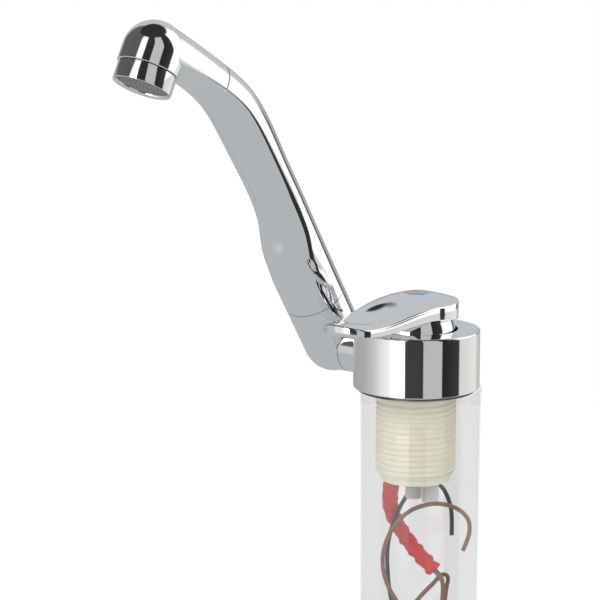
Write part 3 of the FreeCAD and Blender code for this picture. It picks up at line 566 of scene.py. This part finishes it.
def drawnOut(name, rings):
    # rings of points, each extruded from the one before and set in its place
    count = len(rings[0])
    thing = startRing(name, count, 1.0, 0.0)
    for _ in rings[1:]:
        bpy.ops.mesh.extrude_edges_move(TRANSFORM_OT_translate={"value": (0, 0, mm)})
    bpy.ops.object.mode_set(mode="OBJECT")
    thing.data.vertices.foreach_set("co", [value * mm for ring in rings for point in ring for value in point])
    thing.data.update()
    capEnds(thing, count)
    bpy.ops.object.mode_set(mode="EDIT")
    closeUp()
    return thing


def placed(thing, matrix):
    pick(thing)
    thing.matrix_world = matrix
    bpy.ops.object.transform_apply(location=True, rotation=True, scale=True)
    return thing


def joined(first, *others):
    pick(first)
    for thing in others:
        thing.select_set(True)
    bpy.ops.object.join()
    return first


def softEdges(thing, width, angle=32):
    pick(thing)
    bevel = thing.modifiers.new("edges", "BEVEL")
    bevel.width = width * mm
    bevel.segments = 2
    bevel.limit_method = "ANGLE"
    bevel.angle_limit = math.radians(angle)
    bpy.ops.object.modifier_apply(modifier="edges")


def finished(thing, body, finish, node, angle=35):
    pick(thing)
    bpy.ops.object.shade_smooth_by_angle(angle=math.radians(angle))
    dress(thing, finish)
    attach(thing, body)
    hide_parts(node)


def smoothLine(places, values):
    # an evenly bent curve through the values
    count = len(places)
    gaps = [after - before for before, after in zip(places, places[1:])]
    slopes = [(after - before) / gap for before, after, gap in zip(values, values[1:], gaps)]
    matrix, aim = np.eye(count), np.zeros(count)
    for index in range(1, count - 1):
        before, after = gaps[index - 1], gaps[index]
        matrix[index, index - 1:index + 2] = before, 2 * (before + after), after
        aim[index] = 6 * (slopes[index] - slopes[index - 1])
    bends = np.linalg.solve(matrix, aim)

    def at(place):
        index = min(max(sum(1 for start in places if start <= place) - 1, 0), count - 2)
        gap = gaps[index]
        after, before = (place - places[index]) / gap, (places[index + 1] - place) / gap
        bent = (before ** 3 - before) * bends[index] + (after ** 3 - after) * bends[index + 1]
        return before * values[index] + after * values[index + 1] + bent * gap * gap / 6

    return at


def steps(low, high, step):
    count = max(1, round((high - low) / step))
    return [low + (high - low) * index / count for index in range(count + 1)]


def partWay(first, last, share):
    return tuple(start + (end - start) * share for start, end in zip(first, last))


# spout: a tube of D section that grows out of the round elbow, its cover and its head

spoutSettings = {
    "middle": -44.0,
    "stations": [  # underside (y, z), rise, width, height, shoulder height
        (-24.80, 28.16, 58.00, 26.0, 26.00, 13.0), (-31.70, 39.64, 62.84, 26.0, 25.83, 9.0),
        (-35.94, 53.60, 68.03, 26.0, 22.18, 4.2), (-37.17, 64.91, 66.40, 26.0, 17.36, 1.4),
        (-42.59, 78.22, 63.06, 26.0, 14.97, 0.35), (-50.68, 91.72, 58.65, 26.0, 14.63, 0.35),
        (-59.12, 105.33, 54.16, 26.0, 14.72, 0.35), (-68.17, 117.14, 45.42, 25.8, 14.12, 0.35),
        (-79.35, 125.39, 34.92, 25.3, 13.43, 0.35), (-92.50, 132.04, 28.27, 24.4, 14.32, 0.35),
        (-107.01, 138.22, 30.00, 23.48, 15.86, 0.35)],
    "edgeCuts": [0.5, 0.9, 2.0, 4.6, 5.6, 4.4, 2.8, 1.9, 1.6, 1.5, 1.4],  # how far in the corners round off
    "cutAbove": 0.6,  # the part of a cut's share that it takes from the side
    "leastShoulder": 0.35, "leastInner": 0.3,
    "underShares": (0.0, 0.2, 0.4, 0.6, 0.8, 0.92, 1.0),
    "cornerSteps": 6, "sideSteps": 18,
    "step": 1.6,
    "start": 0.05,
    "seamStation": 8, "seamCut": 0.22, "seamHalf": 0.03,
    "coverStation": 4, "coverMargin": 0.7, "coverGap": 0.05, "coverDepth": 1.4, "recessMore": 0.1,
    "coverEdge": 0.12, "coverEndEdge": 0.15, "coverShares": (0, 0.25, 0.5, 0.75, 0.93),
    "coverStartGap": 0.01, "coverEndGap": 0.12, "headClear": 1.5, "headSearch": 0.1,
}
headSettings = {
    "outlet": (-44.0, -111.9, 128.2),
    "up": (0.0, 0.45399, 0.89101),
    "radius": 12.3,
    "centreHeight": 14.8,
    "collarHeight": 7.5,
    "bore": 10.3, "boreTop": 14.5,
    "edge": 0.25,
    "around": 96, "domeStep": 5, "poleRadius": 0.05,
}


def arcRadius(half, rise):
    # the arc that rises this much over half a width
    return half * half / (2 * rise) + rise / 2


def arcHeight(radius, x):
    return radius - math.sqrt(radius * radius - x * x)


def arcThrough(half, shoulder, far, share):
    # a point on the arc from (half, shoulder) to (0, far), by its share of the way
    rise = far - shoulder
    radius = arcRadius(half, abs(rise))
    centre = far - math.copysign(radius, rise)
    start = math.atan2(shoulder - centre, half)
    end = math.copysign(math.pi / 2, rise)
    angle = start + (end - start) * share
    return radius * math.cos(angle), centre + radius * math.sin(angle)


def dSection(settings, width, height, shoulder, cut, depth):
    # half of a section from the underside's middle to the crest, then its mirror
    half = width / 2
    under = arcRadius(half, shoulder)
    edge = half - cut - settings["coverMargin"]
    points = [(edge * share, arcHeight(under, edge * share) + depth) for share in settings["underShares"]]
    lower = (half - cut, arcHeight(under, half - cut))
    cutShare = cut / half * settings["cutAbove"]
    upper = arcThrough(half, shoulder, height, cutShare)
    points += [(x, arcHeight(under, x)) for x in (edge, (edge + lower[0]) / 2)]
    for step in range(settings["cornerSteps"] + 1):
        share = step / settings["cornerSteps"]
        corner = (half, shoulder)
        points.append(partWay(partWay(lower, corner, share), partWay(corner, upper, share), share))
    for step in range(1, settings["sideSteps"] + 1):
        share = cutShare + (1 - cutShare) * step / settings["sideSteps"]
        points.append(arcThrough(half, shoulder, height, share))
    return points + [(-x, n) for x, n in points[-2:0:-1]]


def stationLines(rows):
    places = [0.0]
    for before, after in zip(rows, rows[1:]):
        places.append(places[-1] + math.hypot(after[0] - before[0], after[1] - before[1]))
    lines = [smoothLine(places, column) for column in zip(*rows)]
    return places, lambda place: [line(place) for line in lines]


spoutPlaces, spoutAt = stationLines(spoutSettings["stations"])
cutAt = smoothLine(spoutPlaces, spoutSettings["edgeCuts"])


def acrossSpout(settings, place, section, lift=0.0):
    # a flat section stood across the spout
    y, z, rise = spoutAt(place)[:3]
    angle = math.radians(rise)
    return [(settings["middle"] + x, y + math.sin(angle) * (n + lift), z + math.cos(angle) * (n + lift))
            for x, n in section]


def spoutRing(settings, place, shrink=0.0, recess=False):
    width, height, shoulder = spoutAt(place)[3:]
    shoulder = min(max(shoulder, settings["leastShoulder"]), height / 2)
    depth = settings["coverDepth"] + settings["recessMore"] if recess else 0.0
    section = dSection(settings, width - 2 * shrink, height - 2 * shrink,
                       max(shoulder - shrink, settings["leastInner"]), cutAt(place), depth)
    return acrossSpout(settings, place, section, shrink)


def coverEndPlace(settings, head):
    # where the cover meets the head's round wall
    outlet, up = Vector(head["outlet"]), Vector(head["up"])
    place = spoutPlaces[-2]
    while place < spoutPlaces[-1]:
        y, z = spoutAt(place)[:2]
        point = Vector((settings["middle"], y, z)) - outlet
        if (point - up * point.dot(up)).length < head["radius"] + settings["headClear"]:
            break
        place += settings["headSearch"]
    return place


def makeSpout(settings):
    seam, coverStart = spoutPlaces[settings["seamStation"]], spoutPlaces[settings["coverStation"]]
    coverEnd = coverEndPlace(settings, headSettings)
    cut, step, gap = settings["seamCut"], settings["step"], settings["seamHalf"]
    rings = [spoutRing(settings, settings["start"], cut)]
    rings += [spoutRing(settings, place) for place in steps(cut, coverStart, step)]
    rings += [spoutRing(settings, place, recess=True) for place in steps(coverStart, seam - cut, step)]
    rings.append(spoutRing(settings, seam - gap, cut, True))
    finished(drawnOut("spoutTube", rings), "spout", "chrome", "spout_tube")
    rings = [spoutRing(settings, seam + gap, cut, True)]
    rings += [spoutRing(settings, place, recess=True) for place in steps(seam + cut, coverEnd, step)]
    rings += [spoutRing(settings, place) for place in steps(coverEnd, spoutPlaces[-1], step)]
    neck = drawnOut("spoutNeck", rings)
    head = joined(makeHeadDome(headSettings), neck)
    finished(head, "spout", "chrome", "spout_head")
    makeCover(settings, coverStart + settings["coverStartGap"], coverEnd - settings["coverEndGap"])


def makeCover(settings, start, end):
    edge, endEdge, depth = settings["coverEdge"], settings["coverEndEdge"], settings["coverDepth"]
    places = [(place, 0.0) for place in steps(start, end - endEdge, settings["step"])] + [(end, endEdge)]
    rings = []
    for place, shrink in places:
        width = spoutAt(place)[3]
        half = width / 2 - cutAt(place) - settings["coverMargin"] - settings["coverGap"]
        under = arcRadius(width / 2, settings["leastShoulder"])
        across = [half * share for share in settings["coverShares"]] + [half - edge - shrink]
        section = [(x, arcHeight(under, x) + shrink) for x in across]
        section.append((half - shrink, section[-1][1] + edge))
        section += [(half - shrink, depth), (half / 2, depth), (0.0, depth)]
        section += [(-x, n) for x, n in section[-2:0:-1]]
        rings.append(acrossSpout(settings, place, section))
    finished(drawnOut("spoutCover", rings), "spout", "chrome", "spout_underside_cover")


def headFrame():
    up = Vector(headSettings["up"])
    across = Vector((1, 0, 0))
    matrix = Matrix((across, up.cross(across), up)).transposed().to_4x4()
    matrix.translation = Vector(headSettings["outlet"]) * mm
    return matrix


def makeHeadDome(settings):
    radius, centre, low = settings["radius"], settings["centreHeight"], settings["collarHeight"]
    edge = settings["edge"]
    profile = [(settings["bore"], settings["boreTop"]), (settings["bore"], low), (radius - edge, low),
               (radius, low + edge)]
    for angle in range(0, 90, settings["domeStep"]):
        rise = math.radians(angle)
        profile.append((radius * math.cos(rise), centre + radius * math.sin(rise)))
    profile.append((settings["poleRadius"], centre + radius))
    dome = turned("spoutHead", profile, settings["around"], pole=True)
    capEnds(dome, settings["around"], last=False)
    return placed(dome, headFrame())


makeSpout(spoutSettings)
print("spout drawn out")


# aerator: its ring, and a mesh woven from round wires

aeratorSettings = {
    "profile": [(11.6, 0.35), (11.6, 7.15), (11.4, 7.35), (10.15, 7.35), (10.15, 1.6), (10.25, 0.9),
                (11.0, 0.1), (11.12, 0.0), (11.3, 0.0), (11.51, 0.1)],
    "around": 120,
}
meshSettings = {"radius": 10.1, "pitch": 0.6, "wire": 0.13, "wave": 0.9, "height": 1.3, "sides": 5}


def makeAeratorRing(settings):
    ring = turnedWall("aeratorRing", settings["profile"], settings["around"])
    finished(placed(ring, headFrame()), "spout", "chrome", "aerator_housing", angle=40)


def makeMeshWire(settings, turn, index, reach):
    pitch, wire, sides = settings["pitch"], settings["wire"], settings["sides"]
    rings = []
    for along in steps(-reach, reach, pitch / 2):
        wave = math.cos(math.pi * (along / pitch + index + turn)) * wire * settings["wave"]
        ring = []
        for side in range(sides):
            angle = 2 * math.pi * side / sides
            across = index * pitch + wire * math.cos(angle)
            high = settings["height"] + wave + wire * math.sin(angle)
            ring.append((across, along, high) if turn else (along, across, high))
        rings.append(ring)
    return drawnOut("meshWire", rings)


def makeMesh(settings):
    pitch = settings["pitch"]
    count = int(settings["radius"] / pitch)
    wires = []
    for turn in (0, 1):
        for index in range(-count, count + 1):
            reach = math.sqrt(settings["radius"] ** 2 - (index * pitch) ** 2)
            if reach >= pitch:
                wires.append(makeMeshWire(settings, turn, index, reach))
    mesh = joined(*wires)
    mesh.name = "aeratorMesh"
    finished(placed(mesh, headFrame()), "spout", "steel", "aerator_screen", angle=60)


makeAeratorRing(aeratorSettings)
makeMesh(meshSettings)
print("aerator mesh woven")


# lever: crowned paddle with a finger dish, on a bell

leverSettings = {
    "ringTop": 25.5,  # heights below are over the body ring's top
    "length": 51.0, "rear": 16.9, "tipHalf": 11.6, "corner": 10.0, "bulge": 0.2,
    "tops": [(-60, 9.4), (-50, 8.6), (-39, 8.1), (-28, 9.4), (-15, 13.0), (-3, 15.1), (8, 14.4), (20, 10.6)],
    "edges": [4.8, 4.8, 4.9, 6.7, 9.2, 10.9, 11.0, 9.4],
    "under": [(-60, 4.2), (-50, 4.0), (-40, 3.4), (-28, 3.9), (-16, 5.6), (-6, 5.9), (4, 5.0), (14, 4.0),
              (24, 3.7)],
    "crownHalf": 17.0,
    "dish": (0.0, -33.0), "dishReach": 20.0, "dishRadius": 30.0, "dishFloor": 6.7, "dishSoft": 0.3,
    "proud": 0.2, "shoulder": 17.0, "shoulderGap": 2,  # points left out before the rear's round
    "tipSteps": 12, "sideSteps": 16, "rearSteps": 36, "around": 220,
    "middleY": -15, "leastShare": 0.012, "topRings": 60, "underRings": 15,
    "topEdge": 0.7, "topEdgeAngles": (18, 36, 54, 72, 90), "lowEdge": 0.35, "lowEdgeAngles": (0, 30, 60, 90),
    "bell": 15.9, "bellWall": 1.3, "bellHeight": 8, "bellAround": 120, "pivot": 24.0,
}


def leverShape(settings):
    places = [row[0] for row in settings["tops"]]
    top = smoothLine(places, [row[1] for row in settings["tops"]])
    edge = smoothLine(places, settings["edges"])
    low = smoothLine(*zip(*settings["under"]))
    soft, radius = settings["dishSoft"], settings["dishRadius"]

    def over(x, y):
        crest = top(y)
        crown = crest - (crest - edge(y)) * (x / settings["crownHalf"]) ** 2
        away = math.dist((x, y), settings["dish"])
        if away < settings["dishReach"]:
            bowl = settings["dishFloor"] + arcHeight(radius, away)
            crown -= soft * math.log1p(math.exp((crown - bowl) / soft))
        return settings["ringTop"] + crown

    def under(x, y):
        return settings["ringTop"] + low(y)

    return over, under


def evenly(points, count):
    # points at equal steps along a closed line
    lengths = [0.0]
    for before, after in zip(points, points[1:] + points[:1]):
        lengths.append(lengths[-1] + math.dist(before, after))
    even = []
    for index in range(count):
        want = lengths[-1] * index / count
        place = next(number for number in range(len(points)) if lengths[number + 1] > want)
        share = (want - lengths[place]) / (lengths[place + 1] - lengths[place])
        even.append(partWay(points[place], points[(place + 1) % len(points)], share))
    return even


def leverOutline(settings):
    # the paddle from above, from the tip's middle round to it again
    half, corner, rear, bulge = (settings[name] for name in ("tipHalf", "corner", "rear", "bulge"))
    flat = half - corner
    tip = -settings["length"]
    sideY = tip + corner
    count = settings["tipSteps"]
    points = [(flat * step / count, tip + bulge * (step / count) ** 2) for step in range(count + 1)]
    for step in range(1, count + 1):
        angle = math.pi / 2 * step / count
        points.append((flat + corner * math.sin(angle),
                       sideY - corner * math.cos(angle) + bulge * (1 - step / count)))
    lean = math.atan2(rear - half, -sideY)
    touch = (rear * math.cos(lean), -rear * math.sin(lean))
    for step in range(1, settings["sideSteps"] + 1 - settings["shoulderGap"]):
        points.append(partWay((half, sideY), touch, step / settings["sideSteps"]))
    rear += settings["proud"]
    start = -math.radians(settings["shoulder"])
    for step in range(settings["rearSteps"] + 1):
        angle = start + (math.pi / 2 - start) * step / settings["rearSteps"]
        points.append((rear * math.cos(angle), rear * math.sin(angle)))
    points += [(-x, y) for x, y in points[-2:0:-1]]
    return evenly(points, settings["around"])


def makePaddle(settings, over, under):
    outline = leverOutline(settings)
    normals = []
    for index in range(len(outline)):
        along = Vector(outline[(index + 3) % len(outline)]) - Vector(outline[index - 3])
        normals.append(Vector((along.y, -along.x)).normalized())

    def inward(distance):
        return [(x - normal.x * distance, y - normal.y * distance)
                for (x, y), normal in zip(outline, normals)]

    def drawnIn(line, share, level):
        # the line closer to the paddle's middle, laid on a surface
        middle = settings["middleY"]
        points = [(x * share, middle + (y - middle) * share) for x, y in line]
        return [(x, y, level(x, y)) for x, y in points]

    least = settings["leastShare"]
    count = settings["topRings"] - 1
    edge = settings["topEdge"]
    inner = inward(edge)
    rings = [drawnIn(inner, least + (1 - least) * index / count, over) for index in range(count + 1)]
    for angle in map(math.radians, settings["topEdgeAngles"]):
        rings.append([(x, y, over(x, y) - edge * (1 - math.cos(angle)))
                      for x, y in inward(edge * (1 - math.sin(angle)))])
    count = settings["underRings"]
    edge = settings["lowEdge"]
    for angle in map(math.radians, settings["lowEdgeAngles"]):
        rings.append([(x, y, under(x, y) + edge * (1 - math.sin(angle)))
                      for x, y in inward(edge * (1 - math.cos(angle)))])
    inner = inward(edge)
    rings += [drawnIn(inner, 1 - (1 - least) * index / count, under) for index in range(1, count + 1)]
    return drawnOut("leverPaddle", rings)


def makeBell(settings):
    outer, pivot, top = settings["bell"], settings["pivot"], settings["bellHeight"]
    inside = outer - settings["bellWall"]
    profile = [(math.sqrt(outer ** 2 - rise ** 2), pivot + rise) for rise in range(top + 1)]
    profile += [(math.sqrt(inside ** 2 - rise ** 2), pivot + rise) for rise in range(top, -1, -2)]
    return turnedWall("leverBell", profile, settings["bellAround"])


def makeLever(settings):
    over, under = leverShape(settings)
    lever = joined(makePaddle(settings, over, under), makeBell(settings))
    finished(lever, "lever", "chrome", "lever", angle=40)
    return over


leverTop = makeLever(leverSettings)
print("lever made")


# indicator disc, domed with the lever's crown

plugSettings = {
    "radius": 5.5,
    "proud": 0.16,
    "around": 72,
    # shares of the radius out from the middle and back underneath, each with its drop from the dome
    "rings": [(0.02, 0.0), (0.15, 0.0), (0.3, 0.0), (0.45, 0.0), (0.6, 0.0), (0.72, 0.0), (0.78, 0.08),
              (0.8, 0.08), (0.84, 0.08), (0.88, 0.0), (0.94, 0.0), (0.985, 0.06), (1.0, 0.2), (1.0, 1.2),
              (0.02, 1.2)],
}


def makePlug(settings, over):
    angles = [2 * math.pi * step / settings["around"] for step in range(settings["around"])]
    rings = []
    for share, drop in settings["rings"]:
        radius = settings["radius"] * share
        circle = [(radius * math.cos(angle), radius * math.sin(angle)) for angle in angles]
        rings.append([(x, y, over(x, y) + settings["proud"] - drop) for x, y in circle])
    finished(drawnOut("indicatorPlug", rings), "lever", "indicator", "indicator_plug", angle=50)


makePlug(plugSettings, leverTop)
print("indicator made")


# threaded shank with its flange and core; profiles are (radius, height)

shankSettings = {
    "crest": 16.625, "pitch": 2.309, "low": -34.0, "high": -3.0, "bore": 13.725,
    # one tooth: depth under the crest, share of the pitch
    "tooth": [(0.925, 0.0), (0.925, 0.08), (0.18, 0.36), (0.03, 0.44), (0.03, 0.62), (0.18, 0.70),
              (0.925, 0.98), (0.925, 1.0)],
    "end": [(13.725, -33.95), (13.725, -38.0), (14.1, -38.0), (14.6, -37.5), (14.75, -35.6), (16.2, -34.4),
            (16.2, -33.95)],
    "flange": [(13.725, -3.05), (17.2, -3.05), (17.2, 0.0), (16.4, 0.0), (16.4, 1.0), (24.6, 1.0),
               (24.6, 3.6), (20.7, 3.6), (20.7, 20.2), (13.0, 20.2), (13.0, 6.0), (1.0, 6.0), (1.0, -2.0),
               (13.725, -2.0)],
    "endEdge": 0.12, "flangeEdge": 0.2,
    "threadSteps": 96, "boreAround": 96, "flangeAround": 120, "drillPast": 6,
    "threadWeld": 0.002, "cutWithin": 0.0001,  # a coarser cut leaves the thread's ends open
}


def makeThread(settings):
    low, high, pitch = settings["low"], settings["high"], settings["pitch"]
    nothingSelected()
    bpy.ops.mesh.primitive_plane_add(size=mm, location=(0, 0, 0))
    thread = bpy.context.object
    thread.name = "shankThread"
    bpy.ops.object.mode_set(mode="EDIT")
    bpy.ops.mesh.delete(type="VERT")
    bpy.ops.object.mode_set(mode="OBJECT")
    tooth = [((settings["crest"] - depth) * mm, 0, (low - pitch + share * pitch) * mm)
             for depth, share in settings["tooth"]]
    thread.data.from_pydata(tooth, [(index, index + 1) for index in range(len(tooth) - 1)], [])
    screw = thread.modifiers.new("turns", "SCREW")
    screw.axis = "Z"
    screw.screw_offset = pitch * mm
    screw.iterations = int((high - low) / pitch) + 3  # past both ends, which are then cut flat
    screw.steps = settings["threadSteps"]
    screw.render_steps = settings["threadSteps"]
    screw.use_merge_vertices = True
    screw.merge_threshold = settings["threadWeld"] * mm / 2
    bpy.ops.object.modifier_apply(modifier="turns")
    for height, upper in ((low, False), (high, True)):
        bpy.ops.object.mode_set(mode="EDIT")
        bpy.ops.mesh.select_all(action="SELECT")
        bpy.ops.mesh.remove_doubles(threshold=settings["threadWeld"] * mm)
        bpy.ops.mesh.bisect(plane_co=(0, 0, height * mm), plane_no=(0, 0, 1), use_fill=True,
                            clear_inner=not upper, clear_outer=upper, threshold=settings["cutWithin"] * mm)
        bpy.ops.object.mode_set(mode="OBJECT")
    bpy.ops.object.mode_set(mode="EDIT")
    closeUp(settings["threadWeld"])
    return thread


def boreOut(thing, settings):
    bore, past, around = settings["bore"], settings["drillPast"], settings["boreAround"]
    drill = turned("shankDrill", [(bore, settings["low"] - past), (bore, settings["high"] + past)], around)
    capEnds(drill, around)
    bpy.ops.object.mode_set(mode="EDIT")
    closeUp()
    pick(thing)
    cut = thing.modifiers.new("bore", "BOOLEAN")
    cut.operation = "DIFFERENCE"
    cut.solver = "EXACT"
    cut.object = drill
    bpy.ops.object.modifier_apply(modifier="bore")
    bpy.data.objects.remove(drill)


def makeShank(settings):
    thread = makeThread(settings)
    boreOut(thread, settings)
    end = turnedWall("shankEnd", settings["end"], settings["boreAround"])
    flange = turnedWall("shankFlange", settings["flange"], settings["flangeAround"])
    softEdges(end, settings["endEdge"])
    softEdges(flange, settings["flangeEdge"])
    finished(joined(thread, end, flange), "base", "ivory_plastic", "shank_body", angle=40)


makeShank(shankSettings)
print("shank threaded")


# gasket and clear sleeve

gasketSettings = {
    "profile": [(16.6, 0.0), (24.2, 0.0), (24.2, 1.0), (16.6, 1.0)],
    "edge": 0.15, "around": 120,
}
sleeveSettings = {
    "centre": (1.4, 1.25), "topRadius": 25.0, "lowRadius": 24.5, "wall": 0.6, "top": 0.9, "low": -112.0,
    "lip": 2.0, "lipProfile": [(0.12, -1.1), (0.2, 0.0)],  # the rim opens out over its last stretch
    "steps": 8, "edge": 0.12, "edgeAngle": 60, "around": 160,
}


def makeGasket(settings):
    gasket = turnedWall("baseGasket", settings["profile"], settings["around"])
    softEdges(gasket, settings["edge"])
    finished(gasket, "base", "rubber", "base_gasket")


def makeClearSleeve(settings):
    radius, top = settings["topRadius"], settings["top"]
    foot, rim = (settings["lowRadius"], settings["low"]), (radius, top - settings["lip"])
    outer = [partWay(foot, rim, step / settings["steps"]) for step in range(settings["steps"] + 1)]
    outer += [(radius + out, top + rise) for out, rise in settings["lipProfile"]]
    inner = [(outside - settings["wall"], height) for outside, height in reversed(outer)]
    sleeve = turnedWall("clearSleeve", outer + inner, settings["around"])
    softEdges(sleeve, settings["edge"], settings["edgeAngle"])
    placed(sleeve, Matrix.Translation(Vector((*settings["centre"], 0)) * mm))
    finished(sleeve, "sleeve", "clear_plastic", "clear_sleeve")


makeGasket(gasketSettings)
makeClearSleeve(sleeveSettings)
print("gasket and sleeve made")


# leads and their red sleeve

leadRadius = 0.9
leadSettings = {
    "brownLead": {
        "node": "brown_lead", "finish": "brown_insulation", "length": 189.5,
        "route": [(4.57, 7.49, -78.56), (6.5, 8.05, -80.21), (8.0, 8.5, -82.53), (8.8, 8.7, -85.6),
                  (8.8, 8.8, -90.1), (8.1, 7.3, -95.6), (5.0, 4.6, -99.6), (-0.3, 2.4, -98.9),
                  (-3.6, 3.5, -94.7), (-1.6, 8.0, -90.0), (0.8, 11.6, -86.2), (3.5, 14.0, -81.6),
                  (5.9, 16.1, -82.9), (4.9, 15.3, -88.2), (4.7, 15.0, -93.9), (2.5, 13.1, -100.5),
                  (-1.9, 7.8, -104.2), (-5.0, 0.9, -99.2), (-6.9, -3.5, -91.5), (-9.4, -7.2, -83.7),
                  (-10.8, -8.5, -74.6), (-9.8, -7.5, -65.9), (-6.4, -5.8, -58.2), (0.1, -5.3, -51.5),
                  (6.9, -4.5, -47.6), (12.4, -0.9, -46.2), (16.1, 3.8, -47.6), (18.2, 8.4, -50.5),
                  (19.2, 12.0, -54.9), (18.9, 13.1, -59.5), (17.6, 13.2, -64.1), (15.6, 12.8, -68.8)],
    },
    "blackLead": {
        "node": "black_lead", "finish": "black_insulation", "length": 141.6,
        "route": [(3.63, 9.31, -79.04), (5.56, 9.87, -80.69), (6.8, 10.23, -83.17), (7.0, 10.6, -86.6),
                  (6.6, 10.8, -91.6), (6.1, 10.3, -98.1), (2.9, 7.3, -104.7), (-2.4, 3.2, -107.1),
                  (-8.4, 0.4, -102.5), (-11.3, -0.8, -94.9), (-11.7, -2.5, -87.1), (-12.2, -2.9, -79.6),
                  (-12.4, -3.1, -72.2), (-11.5, -3.0, -65.1), (-9.9, -2.3, -58.8), (-9.4, 0.3, -54.0),
                  (-10.2, 4.9, -50.4), (-9.5, 8.9, -46.7), (-7.0, 12.5, -44.2), (-1.1, 13.2, -41.9),
                  (4.5, 12.2, -43.1), (7.7, 12.4, -47.3), (9.4, 12.6, -52.6), (10.2, 12.0, -58.0),
                  (10.8, 11.1, -62.9)],
    },
}


def routeCurve(name, route, bevel, fineness=10):
    curve = bpy.data.curves.new(name, "CURVE")
    curve.dimensions = "3D"
    curve.resolution_u = fineness
    spline = curve.splines.new("NURBS")
    spline.points.add(len(route) - 1)
    for point, place in zip(spline.points, route):
        point.co = [value * mm for value in place] + [1.0]
    spline.order_u = 3
    spline.use_endpoint_u = True
    curve.bevel_depth = bevel * mm
    curve.bevel_resolution = 4
    curve.use_fill_caps = bevel > 0
    thing = bpy.data.objects.new(name, curve)
    bpy.context.scene.collection.objects.link(thing)
    return thing


def makeLead(name, settings):
    lead = routeCurve(name, settings["route"], leadRadius)
    dress(lead, settings["finish"])
    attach(lead, "base")
    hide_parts(settings["node"])
    return lead


sleevingSettings = {
    "route": [(-2.3, -8.5, -10.9), (-4.6, -7.1, -19.0), (-7.4, -5.1, -28.5), (-9.4, -3.6, -38.0),
              (-13.0, -1.0, -48.4), (-14.6, 2.3, -55.9), (-12.0, 4.6, -62.9), (-7.0, 5.8, -69.1),
              (-1.4, 6.8, -74.1), (4.1, 8.4, -78.8)],
    "radius": 3.1, "diameter": 6.0, "length": 78.7, "around": 28, "fineness": 24,
    "wider": 0.55, "widerUntil": 56.0,
    "wrinkle": 0.30, "leastWrinkle": 0.05, "wrinkleRun": 50.0, "smoothShare": 0.45,
    # each wrinkle: strength, turns along a mm, then its leans round the sleeve (amount, times round, start)
    "wrinkles": [(1.0, 1.15, [(2.1, 1, 0.6), (0.7, 3, 0.0)]), (0.6, 1.9, [(1.7, 2, math.pi / 2)]),
                 (0.3, 4.3, [(1.2, 4, 0.0)])],
}


def crumple(settings, run, angle):
    total = 0.0
    for strength, pace, leans in settings["wrinkles"]:
        lean = sum(amount * math.sin(angle * times + start) for amount, times, start in leans)
        total += strength * math.sin(run * pace + lean)
    return total


def sleevingRadius(settings, run, angle):
    # wide and smooth where it leaves the shank, wrinkled further down
    share = min(1.0, max(0.0, run / settings["wrinkleRun"] - settings["smoothShare"]))
    wider = settings["wider"] * max(0.0, 1.0 - run / settings["widerUntil"])
    deep = share * settings["wrinkle"] + settings["leastWrinkle"]
    return settings["radius"] + wider + deep * crumple(settings, run, angle)


def makeSleeving(settings):
    guide = routeCurve("sleevingGuide", settings["route"], 0.0, settings["fineness"])
    line = bpy.data.meshes.new_from_object(guide.evaluated_get(bpy.context.evaluated_depsgraph_get()))
    path = [vertex.co.copy() for vertex in line.vertices]
    bpy.data.objects.remove(guide)
    side = Vector((1, 0, 0))
    rings = []
    run = 0.0
    for index, point in enumerate(path):
        before, after = path[max(index - 1, 0)], path[min(index + 1, len(path) - 1)]
        ahead = (after - before).normalized()
        side = (side - ahead * side.dot(ahead)).normalized()
        up = ahead.cross(side)
        if index:
            run += (point - before).length / mm
        ring = []
        for step in range(settings["around"]):
            angle = 2 * math.pi * step / settings["around"]
            out = side * math.cos(angle) + up * math.sin(angle)
            ring.append(point / mm + out * sleevingRadius(settings, run, angle))
        rings.append(ring)
    sleeving = drawnOut("redSleeving", rings)
    for polygon in sleeving.data.polygons:
        polygon.use_smooth = len(polygon.vertices) == 4
    dress(sleeving, "red_sleeve")
    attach(sleeving, "base")
    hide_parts("red_sleeve")


leads = {name: makeLead(name, settings) for name, settings in leadSettings.items()}
makeSleeving(sleevingSettings)
for name, settings in leadSettings.items():
    tuple(value * mm for value in settings["route"][0])
    settings["length"] * mm
print("leads and sleeving laid")
